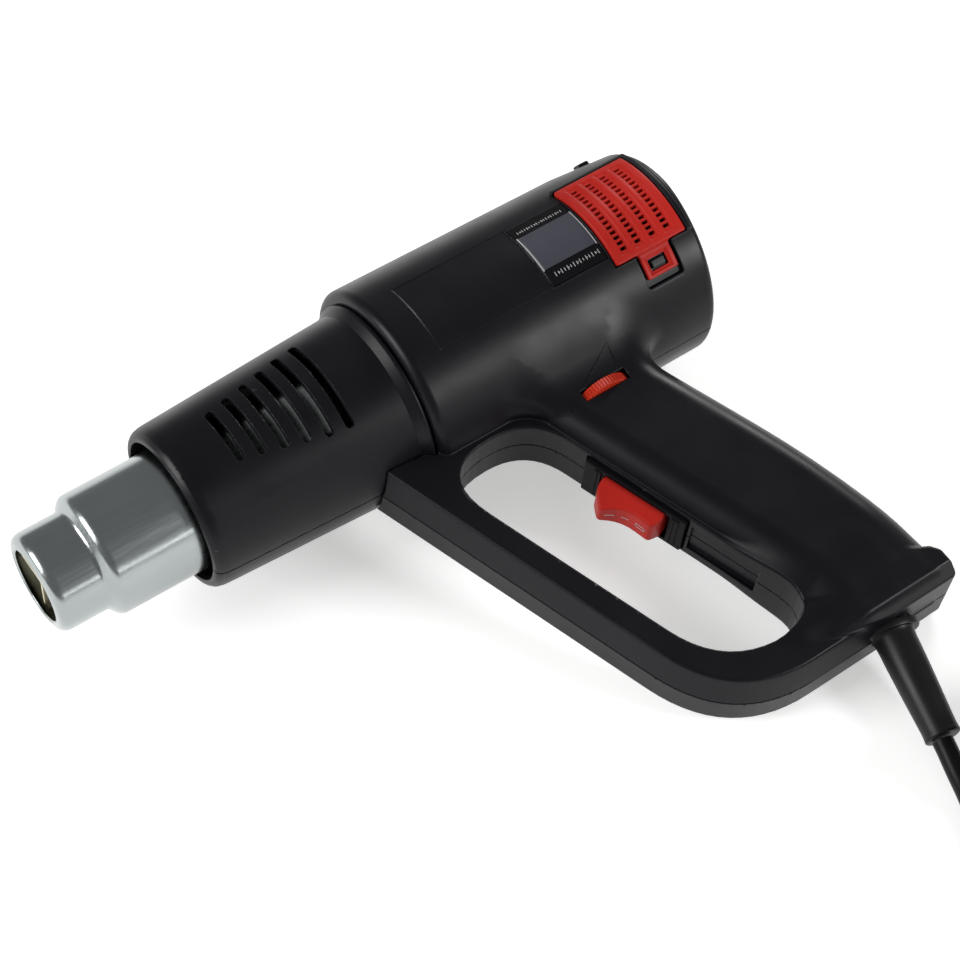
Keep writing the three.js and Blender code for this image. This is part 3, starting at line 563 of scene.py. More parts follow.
def rounded_profile(profile, steps=4):
    """More points along a profile, between those given, on a smooth curve."""
    points = []
    for i, (start, end) in enumerate(zip(profile, profile[1:])):
        before = profile[max(i - 1, 0)]
        after = profile[min(i + 2, len(profile) - 1)]
        for k in range(steps):
            t = k / steps
            weights = (
                -0.5 * t + t * t - 0.5 * t ** 3,
                1 - 2.5 * t * t + 1.5 * t ** 3,
                0.5 * t + 2 * t * t - 1.5 * t ** 3,
                -0.5 * t * t + 0.5 * t ** 3,
            )
            corners = (before, start, end, after)
            points.append(tuple(sum(w * c[n] for w, c in zip(weights, corners)) for n in (0, 1)))
    points.append(profile[-1])
    return points


def plug_radius(x, radius):
    """The plug's radius with its moulded grip ribs."""
    return radius + sum(0.55 * math.exp(-((x - rib) / 0.55) ** 2) for rib in PLUG_RIBS)


def add_plug():
    rings = [
        ellipse_ring(x, plug_radius(x, r), PLUG_FLATTENING, 64)
        for x, r in rounded_profile(PLUG_PROFILE, 6)
    ]
    plug = add_piece("plug", lofted("plug", rings), "black_rubber", "body", "black_rubber", ["plug_body"],
                     PLUG_PLACE)
    pieces = [plug]
    for i, side in enumerate((1, -1)):
        rings = [
            [(px, py + side * PIN_SPACING / 2, pz) for px, py, pz in ellipse_ring(x, r, 1, 32)]
            for x, r in PIN_PROFILE
        ]
        pin = lofted(f"pin_{i + 1}", rings)
        pieces.append(add_piece(f"pin_{i + 1}", pin, "steel", "body", "steel", [f"plug_pin_{i + 1}"],
                                PLUG_PLACE))
    return pieces


def add_tie():
    """A strap round the coil, on a rounded path in the coil's section."""
    low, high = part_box("coil_tie")[0].z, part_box("coil_tie")[1].z - TIE_THICKNESS
    inner, outer = COIL_MIDDLE_RADIUS - 0.0114, COIL_MIDDLE_RADIUS + 0.011
    corner = 0.004
    path = []
    for r, z, start in ((outer, high, 0), (inner, high, 90), (inner, low, 180), (outer, low, 270)):
        middle_r = r - corner if r == outer else r + corner
        middle_z = z - corner if z == high else z + corner
        for step in range(9):
            angle = math.radians(start + 11.25 * step)
            path.append((middle_r, middle_z, angle))
    rings = []
    for r, z, angle in path:
        ring = []
        for grow, side in ((0, -1), (0, 1), (1, 1), (1, -1)):
            reach = corner + grow * TIE_THICKNESS
            ring.append((r + reach * math.cos(angle), side * TIE_WIDTH / 2, z + reach * math.sin(angle)))
        rings.append(ring)
    place = Matrix.Translation((COIL_CENTRE.x, COIL_CENTRE.y, 0)) @ Matrix.Rotation(TIE_ANGLE, 4, "Z")
    mesh = lofted("tie_strap", rings, closed=True)
    return add_piece("tie_strap", mesh, "black_rubber", "body", "black_rubber", ["coil_tie"], place)


def add_cord():
    route = CORD_START + COIL_IN + coil_points() + COIL_OUT + CORD_END
    data = bpy.data.curves.new("power_cord_run", "CURVE")
    data.dimensions = "3D"
    data.bevel_depth = CORD_DIAMETER / 2
    data.bevel_resolution = 6
    data.use_fill_caps = True
    spline = data.splines.new("POLY")
    spline.points.add(len(route) - 1)
    for point, place in zip(spline.points, route):
        point.co = (*place, 1)
    spline.use_smooth = True
    cord = bpy.data.objects.new("power_cord_run", data)
    bpy.context.scene.collection.objects.link(cord)
    data.materials.append(MATERIALS["cord_sheath"])
    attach(cord, "body")
    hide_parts("power_cord", "power_cord_coil", "power_cord_end")
    total = sum((Vector(b) - Vector(a)).length for a, b in zip(route, route[1:]))
    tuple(CORD_START[0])
    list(add_plug())
    add_tie()


add_cord()

# ----------------------------------------------------------------- the gun's shape
# Outlines are [x, y, corner radius] corners in the gun's axes.
FAR = 400
WALL = 2.6
SEAM = 0.17
BARREL_RADIUS = 37.7
BARREL_FRONT, BARREL_REAR = 128.2, 244.2
REAR_EDGE, FRONT_EDGE = 2.4, 3.4
REAR_LEAN = 0.07  # the lower half of the barrel's end leans forward
# The barrel's top falls away from its highest place, fast to the rear and slowly to the front.
TOP_FALL_REAR, TOP_FALL_FROM = 0.1, 220
TOP_FALL_FRONT, TOP_FALL_TO, TOP_FALL_LENGTH = 0.013, 228, 100
NECK_RADIUS = 33

HANDLE_HALF, HANDLE_EDGE, HANDLE_DRAFT = 17.5, 10, 0.4
HANDLE = outline([
    (161, -24), (203, -24), (209, -44), (235.5, -113.7, 34),
    (243.5, -167), (197.3, -167), (197.3, -140), (161, -35.2),
])
HANDLE_END, HANDLE_END_EDGE = -158, 1.1
END_TAPER, TAPER_FROM, TAPER_TO = 2.4, -128, -156

BASE_HALF, BASE_EDGE = 15.2, 1.2
BASE = outline([
    (186, -146), (232, -146), (239, -149.5), (241.3, -152.5, 1), (241.3, -161.6, 1.6),
    (212, -161.6, 8), (186, -156),
])
BASE_NARROWING, NARROW_FROM, NARROW_TO = 5.6, 208, 186
BEVEL_TOP, BEVEL_SLOPE = -157, 0.85
BEVEL_LENGTH = 1.3  # of the bevel's slope vector, which turns its height into a distance

GUARD_HALF, GUARD_EDGE, GUARD_DRAFT = 10.5, 0.9, 3
GUARD = outline([
    (104.6, -24), (203, -24), (228, -146), (235, -162), (151.9, -162.4, 32),
], 14)
LOOP = outline([
    (121.6, -38.4, 24), (159.2, -147.5, 23), (198.4, -147.5, 18), (161.9, -38.4, 16),
], 10)
LOOP_EDGE = 0.6

# The fillet under the barrel grows away from the loop, and most at the gun's sides.
BARREL_FILLET, FILLET_GROWTH, SIDE_GROWTH = 2, 4, 9
# The guard flows into the handle's lower end, above the base's bottom.
LEAST_FILLET, GUARD_FILLET = 0.5, 9
FLOW_FROM, FLOW_TO = -105, -135
FLOW_OUT_FROM, FLOW_OUT_TO = -148, -158

SHIELD = outline([
    (47, 25), (47, 27, 0.8), (48.6, 28.3), (51, 28.9), (54, 29.08), (123.4, 32.4), (126.4, 34.6, 0.5),
    (127.5, 34.6), (127.5, 32.7), (131.3, 32.7), (131.3, 34.6), (133.3, 34.6), (133.3, 30.2),
    (123.4, 30.2), (53, 26.8), (50, 25),
])
SHIELD_SPACE = outline([
    (0, 0), (0, 60), (44, 60), (44, 29.4), (123.4, 32.7), (126.6, 35), (128.4, 35), (128.4, 0),
])
SLOT_HALF_LENGTHS = (10.3, 12, 13.6, 15.3, 17, 17.8)
FIRST_SLOT, SLOT_PITCH, SLOT_HALF_WIDTH, SLOT_END_EDGE = 67.9, 7.25, 1.5, 1.2
SLOTS_FROM = 15  # the slots stay this far from the middle plane

# Each screw's x and y, and its length.
SCREWS = [
    (117.5, -43.5, 15), (157.5, -145, 15), (139, 33.4, 20), (236, 32.6, 20),
    (231, -31.5, 20), (227.5, -133, 24), (205.5, -112, 24),
]
SCREW_HEAD_RADIUS, SCREW_SEAT_RADIUS, SCREW_HOLE_RADIUS, SCREW_POST_RADIUS = 2.8, 3.1, 1.8, 3.4
SCREW_SEAT_DEPTH = 3.4

WHEEL = (186, -45, 8.6)
WHEEL_SLOT = {"before": 8.6, "behind": 9.4, "half": 2}
WHEEL_ROOM = {"reach": 14.5, "half": 2.1, "top": 16.6}
WHEEL_ROOM_FLOOR = 8
ARROW = [(194.6, -34.1), (179.3, -41.9), (194.6, -34.1), (194.0, -40.2)]
ARROW_HALF_WIDTH, ARROW_SKIN, ARROW_SINK = 0.3, 0.1, 0.04

# Plates on the barrel and seats in it: two radii, two angles in degrees from the top, and two x.
PANEL = {"inner": 0, "outer": FAR, "start": 68, "end": 111, "front": 141, "rear": 185.6}
PANEL_DEPTH, PANEL_BLUR = 0.3, 0.4
PAD = {"inner": 34, "outer": 39, "start": 57.5, "end": 118, "front": 209.3, "rear": 240.9}
CATCH = {"inner": 35, "outer": 38, "start": 25, "end": 33, "front": 231.8, "rear": 236}
COVER_SEAT = {"inner": 36.6, "outer": FAR, "start": 60.5, "end": 117.5, "front": 209.5, "rear": 238.8}
TAB_SEAT = {"inner": 35.8, "outer": FAR, "start": 113, "end": 135.5, "front": 217.6, "rear": 232}
TAB_STOP = {"inner": 30, "outer": 37.2, "start": 122.6, "end": 126.8, "front": 222, "rear": 227.4}
LABEL_SEAT = {"inner": 36.7, "outer": FAR, "start": 69, "end": 111, "front": 186, "rear": 209}
INTAKE_LOW, INTAKE_HIGH = (213, -14, 20), (236, 14, FAR)
COVER_ROWS = (215, 220.9, 226.9, 232.9)
AIR_SLOT_HALF = 1.5
CUT_EDGE = 0.25

# The grip's front edge starts here and leans back; the switch lies along it.
GRIP_ORIGIN = (168.7, -57.6)
GRIP_LEAN = math.radians(19.1)
SWITCH_MIDDLE = 23.3
# From one corner to another: in front of the grip's front edge, down along it, and z.
SWITCH_OPENING = ((-9, SWITCH_MIDDLE - 18, -9), (10, SWITCH_MIDDLE + 18, 9))
BEZEL_SEAT = ((-1.1, 2.3, -8.8), (2, 42.6, 8.8))
GRIP_STRIP = ((-0.7, 44, -6.6), (2, 70, 6.6))

BOOT_ROOT = Vector((216.6, -160, 0))
BOOT_TIP = Vector((206.9, -199.5, -3))
BOOT_AXIS = (BOOT_TIP - BOOT_ROOT).normalized()
BOOT_HOLE_RADIUS, BOOT_HOLE_REACH = 7.3, 8


def step_up(value, low, high):
    """0 at low, 1 at high and smooth between."""
    share = np.clip((value - low) / (high - low), 0, 1)
    return share * share * (3 - 2 * share)


def on_grip(x, y):
    """How far a point lies in front of the grip's front edge, and how far down it."""
    away_x, away_y = x - GRIP_ORIGIN[0], y - GRIP_ORIGIN[1]
    forward = -away_x * math.cos(GRIP_LEAN) - away_y * math.sin(GRIP_LEAN)
    down = away_x * math.sin(GRIP_LEAN) - away_y * math.cos(GRIP_LEAN)
    return forward, down


def from_line(x, y, start, end):
    """The distance in the XY plane to a line between two points."""
    ex, ey = end[0] - start[0], end[1] - start[1]
    share = np.clip(((x - start[0]) * ex + (y - start[1]) * ey) / (ex * ex + ey * ey), 0, 1)
    return length_of(x - start[0] - ex * share, y - start[1] - ey * share)


def half_width(x, y):
    """How far the housing reaches to either side at a screw."""
    if y > -BARREL_RADIUS:
        return math.sqrt(BARREL_RADIUS ** 2 - y ** 2)
    return GUARD_HALF if x < HANDLE[0][0] else HANDLE_HALF


def head_depth(x, y):
    """The same at the edge of the screw's head, where the barrel is narrower."""
    return half_width(x, abs(y) + SCREW_HEAD_RADIUS if y > -BARREL_RADIUS else y)


def barrel_shape(x, y, r):
    """The barrel, with a top that falls away to both ends."""
    top_share = np.clip(y / np.maximum(r, 1), 0, 1) ** 2
    fall = TOP_FALL_REAR * np.maximum(x - TOP_FALL_FROM, 0)
    fall = fall - TOP_FALL_FRONT * np.clip(TOP_FALL_TO - x, 0, TOP_FALL_LENGTH)
    rear = x - BARREL_REAR + REAR_LEAN * np.maximum(-y, 0)
    barrel = both(r - BARREL_RADIUS + fall * top_share, rear, REAR_EDGE)
    return both(barrel, BARREL_FRONT - x, FRONT_EDGE)


def handle_shape(x, y, z):
    """The handle, thinner towards its lower end."""
    half = HANDLE_HALF - END_TAPER * step_up(y, TAPER_FROM, TAPER_TO)
    handle = slab(polygon(HANDLE, x, y), z, half, HANDLE_EDGE, HANDLE_DRAFT)
    return both(handle, HANDLE_END - y, HANDLE_END_EDGE)


def base_shape(x, y, z):
    """The flat base at the handle's lower end, narrower to its front and bevelled below."""
    half = BASE_HALF - BASE_NARROWING * step_up(x, NARROW_FROM, NARROW_TO)
    bevel = (np.abs(z) - half + BEVEL_SLOPE * (BEVEL_TOP - y)) / BEVEL_LENGTH
    return both(both(polygon(BASE, x, y), np.abs(z) - half, BASE_EDGE), bevel, 0.3)


def guard_shape(x, y, z, r, loop):
    """The hand guard, with the heat shield's space cut out of it."""
    ring = both(polygon(GUARD, x, y) + GUARD_DRAFT * np.maximum(z, 0) / GUARD_HALF, -loop)
    guard = both(ring, np.abs(z) - GUARD_HALF, GUARD_EDGE)
    return without(guard, polygon(SHIELD_SPACE, x, r))


def gun_outside(x, y, z):
    """The housing's outer shape: barrel, handle, base and guard, flowing into each other."""
    r = length_of(y, z)
    loop = polygon(LOOP, x, y)
    growth = FILLET_GROWTH + SIDE_GROWTH * step_up(np.abs(z), 2, 15)
    fillet = BARREL_FILLET + growth * step_up(loop, -1, 7)
    body = either(barrel_shape(x, y, r), handle_shape(x, y, z), fillet)
    body = either(body, without(base_shape(x, y, z), loop, 0.5), 1)
    flow = step_up(y, FLOW_FROM, FLOW_TO) * step_up(y, FLOW_OUT_TO, FLOW_OUT_FROM)
    body = either(body, guard_shape(x, y, z, r, loop), LEAST_FILLET + GUARD_FILLET * flow)
    return without(body, loop, LOOP_EDGE)


def housing(x, y, z):
    """Both halves of the housing as one shell, with its openings, recesses and marks."""
    r = length_of(y, z)
    angle = barrel_angle(y, z)
    outside = gun_outside(x, y, z)
    panel = curved_plate(x, r, angle, **PANEL)
    outside = outside + PANEL_DEPTH * np.clip(0.5 - panel / PANEL_BLUR, 0, 1) * (z > 10)
    shell = without(outside, outside + WALL)
    for screw_x, screw_y, _ in SCREWS:
        post = length_of(x - screw_x, y - screw_y) - SCREW_POST_RADIUS
        shell = np.minimum(shell, both(post, outside))
    pad = curved_plate(x, r, angle, **PAD, edge=0.6)
    catch = curved_plate(x, r, angle, **CATCH, edge=0.5)
    shell = np.minimum(shell, np.minimum(pad, catch))
    shell = without(shell, both(r - NECK_RADIUS, span(x, 120, 132)))
    for cut in housing_cuts(x, y, z, r, angle):
        shell = without(shell, cut, CUT_EDGE)
    return shell


def housing_cuts(x, y, z, r, angle):
    """Everything cut out of the housing, one field at a time."""
    yield curved_plate(x, r, angle, **COVER_SEAT, edge=0.5)
    tab = curved_plate(x, r, angle, **TAB_SEAT, edge=0.5)
    yield without(tab, curved_plate(x, r, angle, **TAB_STOP, edge=0.3))
    yield curved_plate(x, r, angle, **LABEL_SEAT, edge=0.4)
    yield brick(x, y, z, INTAKE_LOW, INTAKE_HIGH)
    for row in COVER_ROWS:
        yield brick(x, y, z, (row - AIR_SLOT_HALF, -14, -FAR), (row + AIR_SLOT_HALF, 14, -20), 0.9)
    yield from wheel_cuts(x, y, z)
    yield from switch_cuts(x, y, z)
    yield from screw_cuts(x, y, z)
    yield boot_hole(x, y, z)


def wheel_cuts(x, y, z):
    """The temperature wheel's slot, and the room for the rest of the wheel under it."""
    wheel_x, wheel_y, _ = WHEEL
    half, room = WHEEL_SLOT["half"], WHEEL_ROOM
    yield brick(x, y, z, (wheel_x - WHEEL_SLOT["before"], wheel_y - half, WHEEL_ROOM_FLOOR),
                (wheel_x + WHEEL_SLOT["behind"], wheel_y + half, FAR), 0.4)
    yield brick(x, y, z, (wheel_x - room["reach"], wheel_y - room["half"], WHEEL_ROOM_FLOOR),
                (wheel_x + room["reach"], wheel_y + room["half"], room["top"]))


def switch_cuts(x, y, z):
    """The switch's opening, the seat of its bezel and the shallow strip below it."""
    forward, down = on_grip(x, y)
    yield brick(forward, down, z, *SWITCH_OPENING)
    yield brick(forward, down, z, *BEZEL_SEAT, 0.3)
    yield brick(forward, down, z, *GRIP_STRIP, 0.3)


def screw_cuts(x, y, z):
    """Each screw's seat and hole, from the right side."""
    for screw_x, screw_y, length in SCREWS:
        outer = -head_depth(screw_x, screw_y)
        off = length_of(x - screw_x, y - screw_y)
        yield both(off - SCREW_SEAT_RADIUS, z - outer - SCREW_SEAT_DEPTH)
        yield both(off - SCREW_HOLE_RADIUS, z - outer - 1.3 - length)


def boot_hole(x, y, z):
    """The round hole that the cord boot sits in."""
    from_root = (x - BOOT_ROOT.x, y - BOOT_ROOT.y, z)
    along = sum(part * axis for part, axis in zip(from_root, BOOT_AXIS))
    off = length_of(*(part - along * axis for part, axis in zip(from_root, BOOT_AXIS)))
    return both(off - BOOT_HOLE_RADIUS, span(along, -BOOT_HOLE_REACH, BOOT_HOLE_REACH))


def arrow_mark(x, y, z):
    """Two thin lines that point to the temperature wheel's low end."""
    lines = np.minimum(*(from_line(x, y, start, end) for start, end in zip(ARROW[::2], ARROW[1::2])))
    return both(lines - ARROW_HALF_WIDTH, np.abs(gun_outside(x, y, z) + ARROW_SINK) - ARROW_SKIN)


def left_housing(x, y, z):
    return both(housing(x, y, z), SEAM - z)


def right_housing(x, y, z):
    return both(housing(x, y, z), SEAM + z)


def shield(x, y, z):
    """Both halves of the heat shield, with its slots."""
    r = length_of(y, z)
    body = polygon(SHIELD, x, r)
    slots = None
    for i, half in enumerate(SLOT_HALF_LENGTHS):
        middle = FIRST_SLOT + SLOT_PITCH * i
        across = span(x, middle - SLOT_HALF_WIDTH, middle + SLOT_HALF_WIDTH)
        slot = both(across, span(y, -half, half), SLOT_END_EDGE)
        slots = slot if slots is None else np.minimum(slots, slot)
    return without(body, both(slots, SLOTS_FROM - np.abs(z)))


def left_shield(x, y, z):
    return both(shield(x, y, z), SEAM - z)


def right_shield(x, y, z):
    return both(shield(x, y, z), SEAM + z)


def grain_step(fine):
    """Cell size of a field mesh in millimetres."""
    return fine


def add_shells():
    step = grain_step(0.32)
    for name, field, low, high, replaced in (
        ("left_shell", left_housing, (104, -164, -0.6), (250, 41, 41), "left_housing"),
        ("right_shell", right_housing, (104, -164, -41), (250, 41, 0.6), "right_housing"),
        ("left_shroud", left_shield, (45, -37, -0.6), (135, 37, 37), "left_heat_shield"),
        ("right_shroud", right_shield, (45, -37, -37), (135, 37, 0.6), "right_heat_shield"),
    ):
        mesh = field_mesh(name, field, low, high, step)
        add_piece(name, mesh, "black_plastic", "body", "black_plastic", [replaced])


add_shells()

# ------------------------------------------------------------------ small parts
COVER = {"inner": 36.9, "outer": 39.1, "start": 61, "end": 117, "front": 209.9, "rear": 238.4}
TAB = {"inner": 36.1, "outer": 37.7, "start": 114, "end": 131.3, "front": 218.6, "rear": 231}
TAB_HOLE = {"start": 121.5, "end": 127.9, "front": 221.2, "rear": 228.2}
TAB_FUNNEL, FUNNEL_TOP, FUNNEL_SLOPE, FUNNEL_DEPTH = 1.5, 37.9, 0.75, 1.2
TAB_FILLET = 1.4
HOLES_START, HOLE_PITCH, HOLES_PER_ROW = 68.6, 3.22, 14
HOLE_HALF_LENGTH, HOLE_HALF_WIDTH = 1.2, 0.6
TRACK_DEPTH = 0.55
TRACK_HALF, TRACK_BANK = 1.5, 2.5
TRACK_END, TRACK_FADE = 0.6, 2.4  # in degrees past the holes


def cover(x, y, z):
    """The intake cover: four rows of holes in shallow tracks, and the latch tab."""
    r = length_of(y, z)
    angle = barrel_angle(y, z)
    middle = HOLES_START + HOLE_PITCH * (HOLES_PER_ROW - 1) / 2
    reach = HOLE_PITCH * HOLES_PER_ROW / 2
    along = 1 - step_up(np.abs(angle - middle), reach + TRACK_END, reach + TRACK_FADE)
    sunk = 0
    for row in COVER_ROWS:
        sunk = sunk + 1 - step_up(np.abs(x - row), TRACK_HALF, TRACK_BANK)
    plate = curved_plate(x, r + TRACK_DEPTH * along * sunk, angle, **COVER, edge=0.7)
    tab = curved_plate(x, r, angle, **TAB, edge=0.5)
    tab_hole = both(np.radians(span(angle, TAB_HOLE["start"], TAB_HOLE["end"])) * r,
                    span(x, TAB_HOLE["front"], TAB_HOLE["rear"]))
    drop = FUNNEL_SLOPE * np.clip(TAB_FUNNEL - tab_hole, 0, FUNNEL_DEPTH)
    tab = without(tab, both(tab_hole - TAB_FUNNEL, FUNNEL_TOP - drop - r))
    body = without(either(plate, tab, TAB_FILLET), tab_hole)
    off = np.abs((angle - HOLES_START + HOLE_PITCH / 2) % HOLE_PITCH - HOLE_PITCH / 2)
    hole = both(np.radians(off) * r - HOLE_HALF_WIDTH, np.abs(angle - middle) - reach)
    for row in COVER_ROWS:
        body = without(body, both(hole, np.abs(x - row) - HOLE_HALF_LENGTH, 0.25))
    return body


ROCKER = outline([
    (11.2, 0.2), (9.6, 5.5, 4), (15.6, 12.3, 1.8), (21.5, 6.8, 6), (33, 7.8, 1.5), (34.6, 3.3),
    (34.6, -4.6),
])
ROCKER_HALF, ROCKER_TAPER = 6.5, 0.31


def rocker(x, y, z):
    """The rocker button: a dished front between two crests, and sides that lean inwards."""
    forward, down = on_grip(x, y)
    sides = np.abs(z) - ROCKER_HALF + ROCKER_TAPER * np.maximum(forward - 2.5, 0)
    return both(polygon(ROCKER, down, forward), sides, 0.8)


def rocker_print(x, y, z):
    """Two dashes and a flat ring on the rocker's front."""
    forward, down = on_grip(x, y)
    dashes = np.minimum(span(down, 17.2, 20), span(down, 22, 24.6))
    ring = np.abs(both(span(down, 27.3, 30.9), np.abs(z) - 0.8, 0.5)) - 0.14
    skin = np.abs(rocker(x, y, z) - 0.03) - 0.1
    return both(both(np.minimum(both(dashes, np.abs(z) - 0.16), ring), skin), 4 - forward)


def bezel(x, y, z):
    """The frame round the rocker, with a raised bar at both ends."""
    forward, down = on_grip(x, y)
    down = down - SWITCH_MIDDLE
    plate = brick(forward, down, z, (-0.9, -20.4, -8.6), (2.2, 18.9, 8.6), 0.4)
    bars = both(span(np.abs(down), 13.6, 16.6), np.abs(z) - 7.6, 0.4)
    bars = both(bars, span(forward, 1.5, 2.8), 0.5)
    step = both(span(np.abs(down), 14.8, 15.2), 2.5 - forward)
    frame_body = without(np.minimum(plate, bars), step)
    return without(frame_body, brick(forward, down, z, (-2, -12.9, -6.8), (9, 12.9, 6.8), 0.3))


def arc_rings(front, rear, start, end, inner, outer, bevel=0.0, steps=10):
    """Rings for a plate bent round the barrel axis, between two angles from the top."""
    section = [
        (front, inner), (rear, inner), (rear, outer - bevel), (rear - bevel, outer),
        (front + bevel, outer), (front, outer - bevel),
    ]
    rings = []
    for i in range(steps + 1):
        angle = math.radians(start + (end - start) * i / steps)
        rings.append([(x, r * math.cos(angle), r * math.sin(angle)) for x, r in section])
    return rings


LABEL_TOP = 37.5
PRINT_LINE_HALF, PRINT_LINES = 0.22, (186.75, 208.25)
MARK_HALF, MARK_ROW_LENGTH = 0.13, 17.6
MARK_HEIGHTS = (1, 0.6, 1, 0.75)
# Each row of scale marks: its angle, half its marks' height in degrees, first x and count.
MARK_ROWS = ((74.3, 0.85, 188.6, 19), (105.4, 1.25, 189.6, 15))


def label_marks():
    """Rows of plain scale marks above and below the label's window."""
    marks = []
    for middle, tall, first, count in MARK_ROWS:
        pitch = MARK_ROW_LENGTH / (count - 1)
        for i in range(count):
            half = tall * MARK_HEIGHTS[i % 4]
            x = first + pitch * i
            marks.append(arc_rings(x - MARK_HALF, x + MARK_HALF, middle - half, middle + half,
                                   LABEL_TOP, 37.62, 0.02, 2))
            if i % 3 == 1:
                marks.append(arc_rings(x + 0.1, x + 0.6, middle - 0.2, middle + 0.2,
                                       LABEL_TOP, 37.61, 0.02, 2))
    return marks


def add_label():
    """The label: a thin black plate, its grey window and white print."""
    plate = lofted("label_plate", arc_rings(186.3, 208.7, 69.4, 110.6, 37, 37.55, 0.15, 24))
    add_piece("label_plate", plate, "label_black", "body", "black_plastic", ["data_plate"])
    window = lofted("label_window", arc_rings(187.1, 207.9, 78, 101, LABEL_TOP, 37.75, 0.12, 16))
    add_piece("label_window", window, "grey_plastic", "body", "grey_plastic")
    lines = [
        arc_rings(x - PRINT_LINE_HALF, x + PRINT_LINE_HALF, 77.6, 101.4, LABEL_TOP, 37.7, 0.05, 16)
        for x in PRINT_LINES
    ]
    prints = lofted("label_print", *lines, *label_marks())
    add_piece("label_print", prints, "white_print", "body", "cream_plastic")


WHEEL_RADIUS, WHEEL_THICKNESS, WHEEL_RIBS = 11.7, 3.4, 62
WHEEL_EDGE, RIB_HEIGHT = 0.35, 0.26


def add_wheel():
    """The temperature wheel, with ribs across its rim."""
    centre_x, centre_y, centre_z = WHEEL
    sides = WHEEL_RIBS * 6
    half = WHEEL_THICKNESS / 2
    profile = (
        (-half, 1.1, 0), (-half, 0.7, 0.3), (-half + WHEEL_EDGE, 0.25, 1),
        (half - WHEEL_EDGE, 0.25, 1), (half, 0.7, 0.3), (half, 1.1, 0),
    )
    rings = []
    for rise, inset, depth in profile:
        ring = []
        for i in range(sides):
            angle = 2 * math.pi * i / sides
            rib = RIB_HEIGHT * depth * math.cos(WHEEL_RIBS * angle)
            radius = WHEEL_RADIUS - inset + rib
            ring.append((centre_x + radius * math.cos(angle), centre_y + rise,
                         centre_z + radius * math.sin(angle)))
        rings.append(ring)
    add_piece("ribbed_wheel", lofted("ribbed_wheel", rings), "orange_plastic", "wheel", "orange_plastic",
              ["temperature_wheel"])


NOZZLE = outline([
    (-2.5, 12.7), (-3, 13.2, 0.3), (-3, 17.5, 4.2), (14.3, 17.5, 1.1), (17.2, 21.4, 1.9), (124.6, 21.4),
    (124.6, 29.6), (125.8, 29.6), (125.8, 20.6), (17.6, 20.6, 1.2), (14.6, 16.7, 1.2), (-2.2, 16.7, 3.4),
], 8)


def add_nozzle():
    add_piece("nozzle_shell", turned("nozzle_shell", NOZZLE, 144), "nozzle_steel", "body", "nozzle_steel",
              ["nozzle_tube"])


BOOT_LENGTH = (BOOT_TIP - BOOT_ROOT).length
BOOT_GROOVE = [(-5.4, 8.4), (-5.4, 9), (-2.6, 9), (-2.6, 7), (0.9, 7)]
BOOT_FLANGE = [(0.9, 9.3), (1.2, 9.8), (3.1, 9.8), (3.6, 9.4), (3.8, 8.4)]
FLANGE_FLATTENING = 0.8
BOOT_SLEEVE = [
    (3.9, 7.4), (5.0, 7.0), (7.5, 6.8), (13, 6.7), (BOOT_LENGTH * 0.6, 6.35),
    (BOOT_LENGTH - 5, 5.9), (BOOT_LENGTH - 2.2, 5.9), (BOOT_LENGTH - 0.5, 6.0), (BOOT_LENGTH, 5.4),
]


def add_boot():
    rings = [ellipse_ring(x, r, 1, 72) for x, r in BOOT_GROOVE]
    rings += [ellipse_ring(x, r, FLANGE_FLATTENING, 72) for x, r in BOOT_FLANGE]
    sleeve = rounded_profile(BOOT_SLEEVE, 4) + [(BOOT_LENGTH, 3.6)]
    rings += [ellipse_ring(x, r, 1, 72) for x, r in sleeve]
    mesh = lofted("boot", rings)
    turn = Vector((1, 0, 0)).rotation_difference(BOOT_AXIS).to_matrix().to_4x4()
    place = GUN @ Matrix.Translation(BOOT_ROOT) @ turn
    add_piece("boot", mesh, "black_rubber", "body", "black_rubber", ["cord_boot"], place)


CROSS_HALF, CROSS_REACH, CROSS_DEPTH = 0.36, 1.55, 1.3


def screw_field(length):
    """A pan head with a cross recess, and a shank, along Z from the outer end of its head."""
    def field(x, y, z):
        off = length_of(x, y)
        head = both(off - SCREW_HEAD_RADIUS, span(z, 0, 2.2), 0.7)
        thread = 0.16 * np.abs((z - np.arctan2(y, x) / (2 * np.pi) * 1.2) % 1.2 - 0.6) / 0.6
        shank = both(off - 1.35 - thread, span(z, 1, length))
        reach = CROSS_REACH - 0.75 * np.maximum(z, 0)
        arms = np.minimum(both(np.abs(x) - CROSS_HALF, np.abs(y) - reach),
                          both(np.abs(y) - CROSS_HALF, np.abs(x) - reach))
        return without(np.minimum(head, shank), both(arms, z - CROSS_DEPTH))
    return field


def add_screws():
    for i, (x, y, length) in enumerate(SCREWS):
        reach = length - 0.3
        outer = 1 - head_depth(x, y)
        name = f"screw_{i + 1}"
        mesh = field_mesh(name, screw_field(reach), (-3, -3, -0.4), (3, 3, reach + 0.4), grain_step(0.16))
        place = GUN @ Matrix.Translation((x, y, outer))
        add_piece(name, mesh, "screw_steel", "body", "screw_steel", [f"housing_{name}"], place)


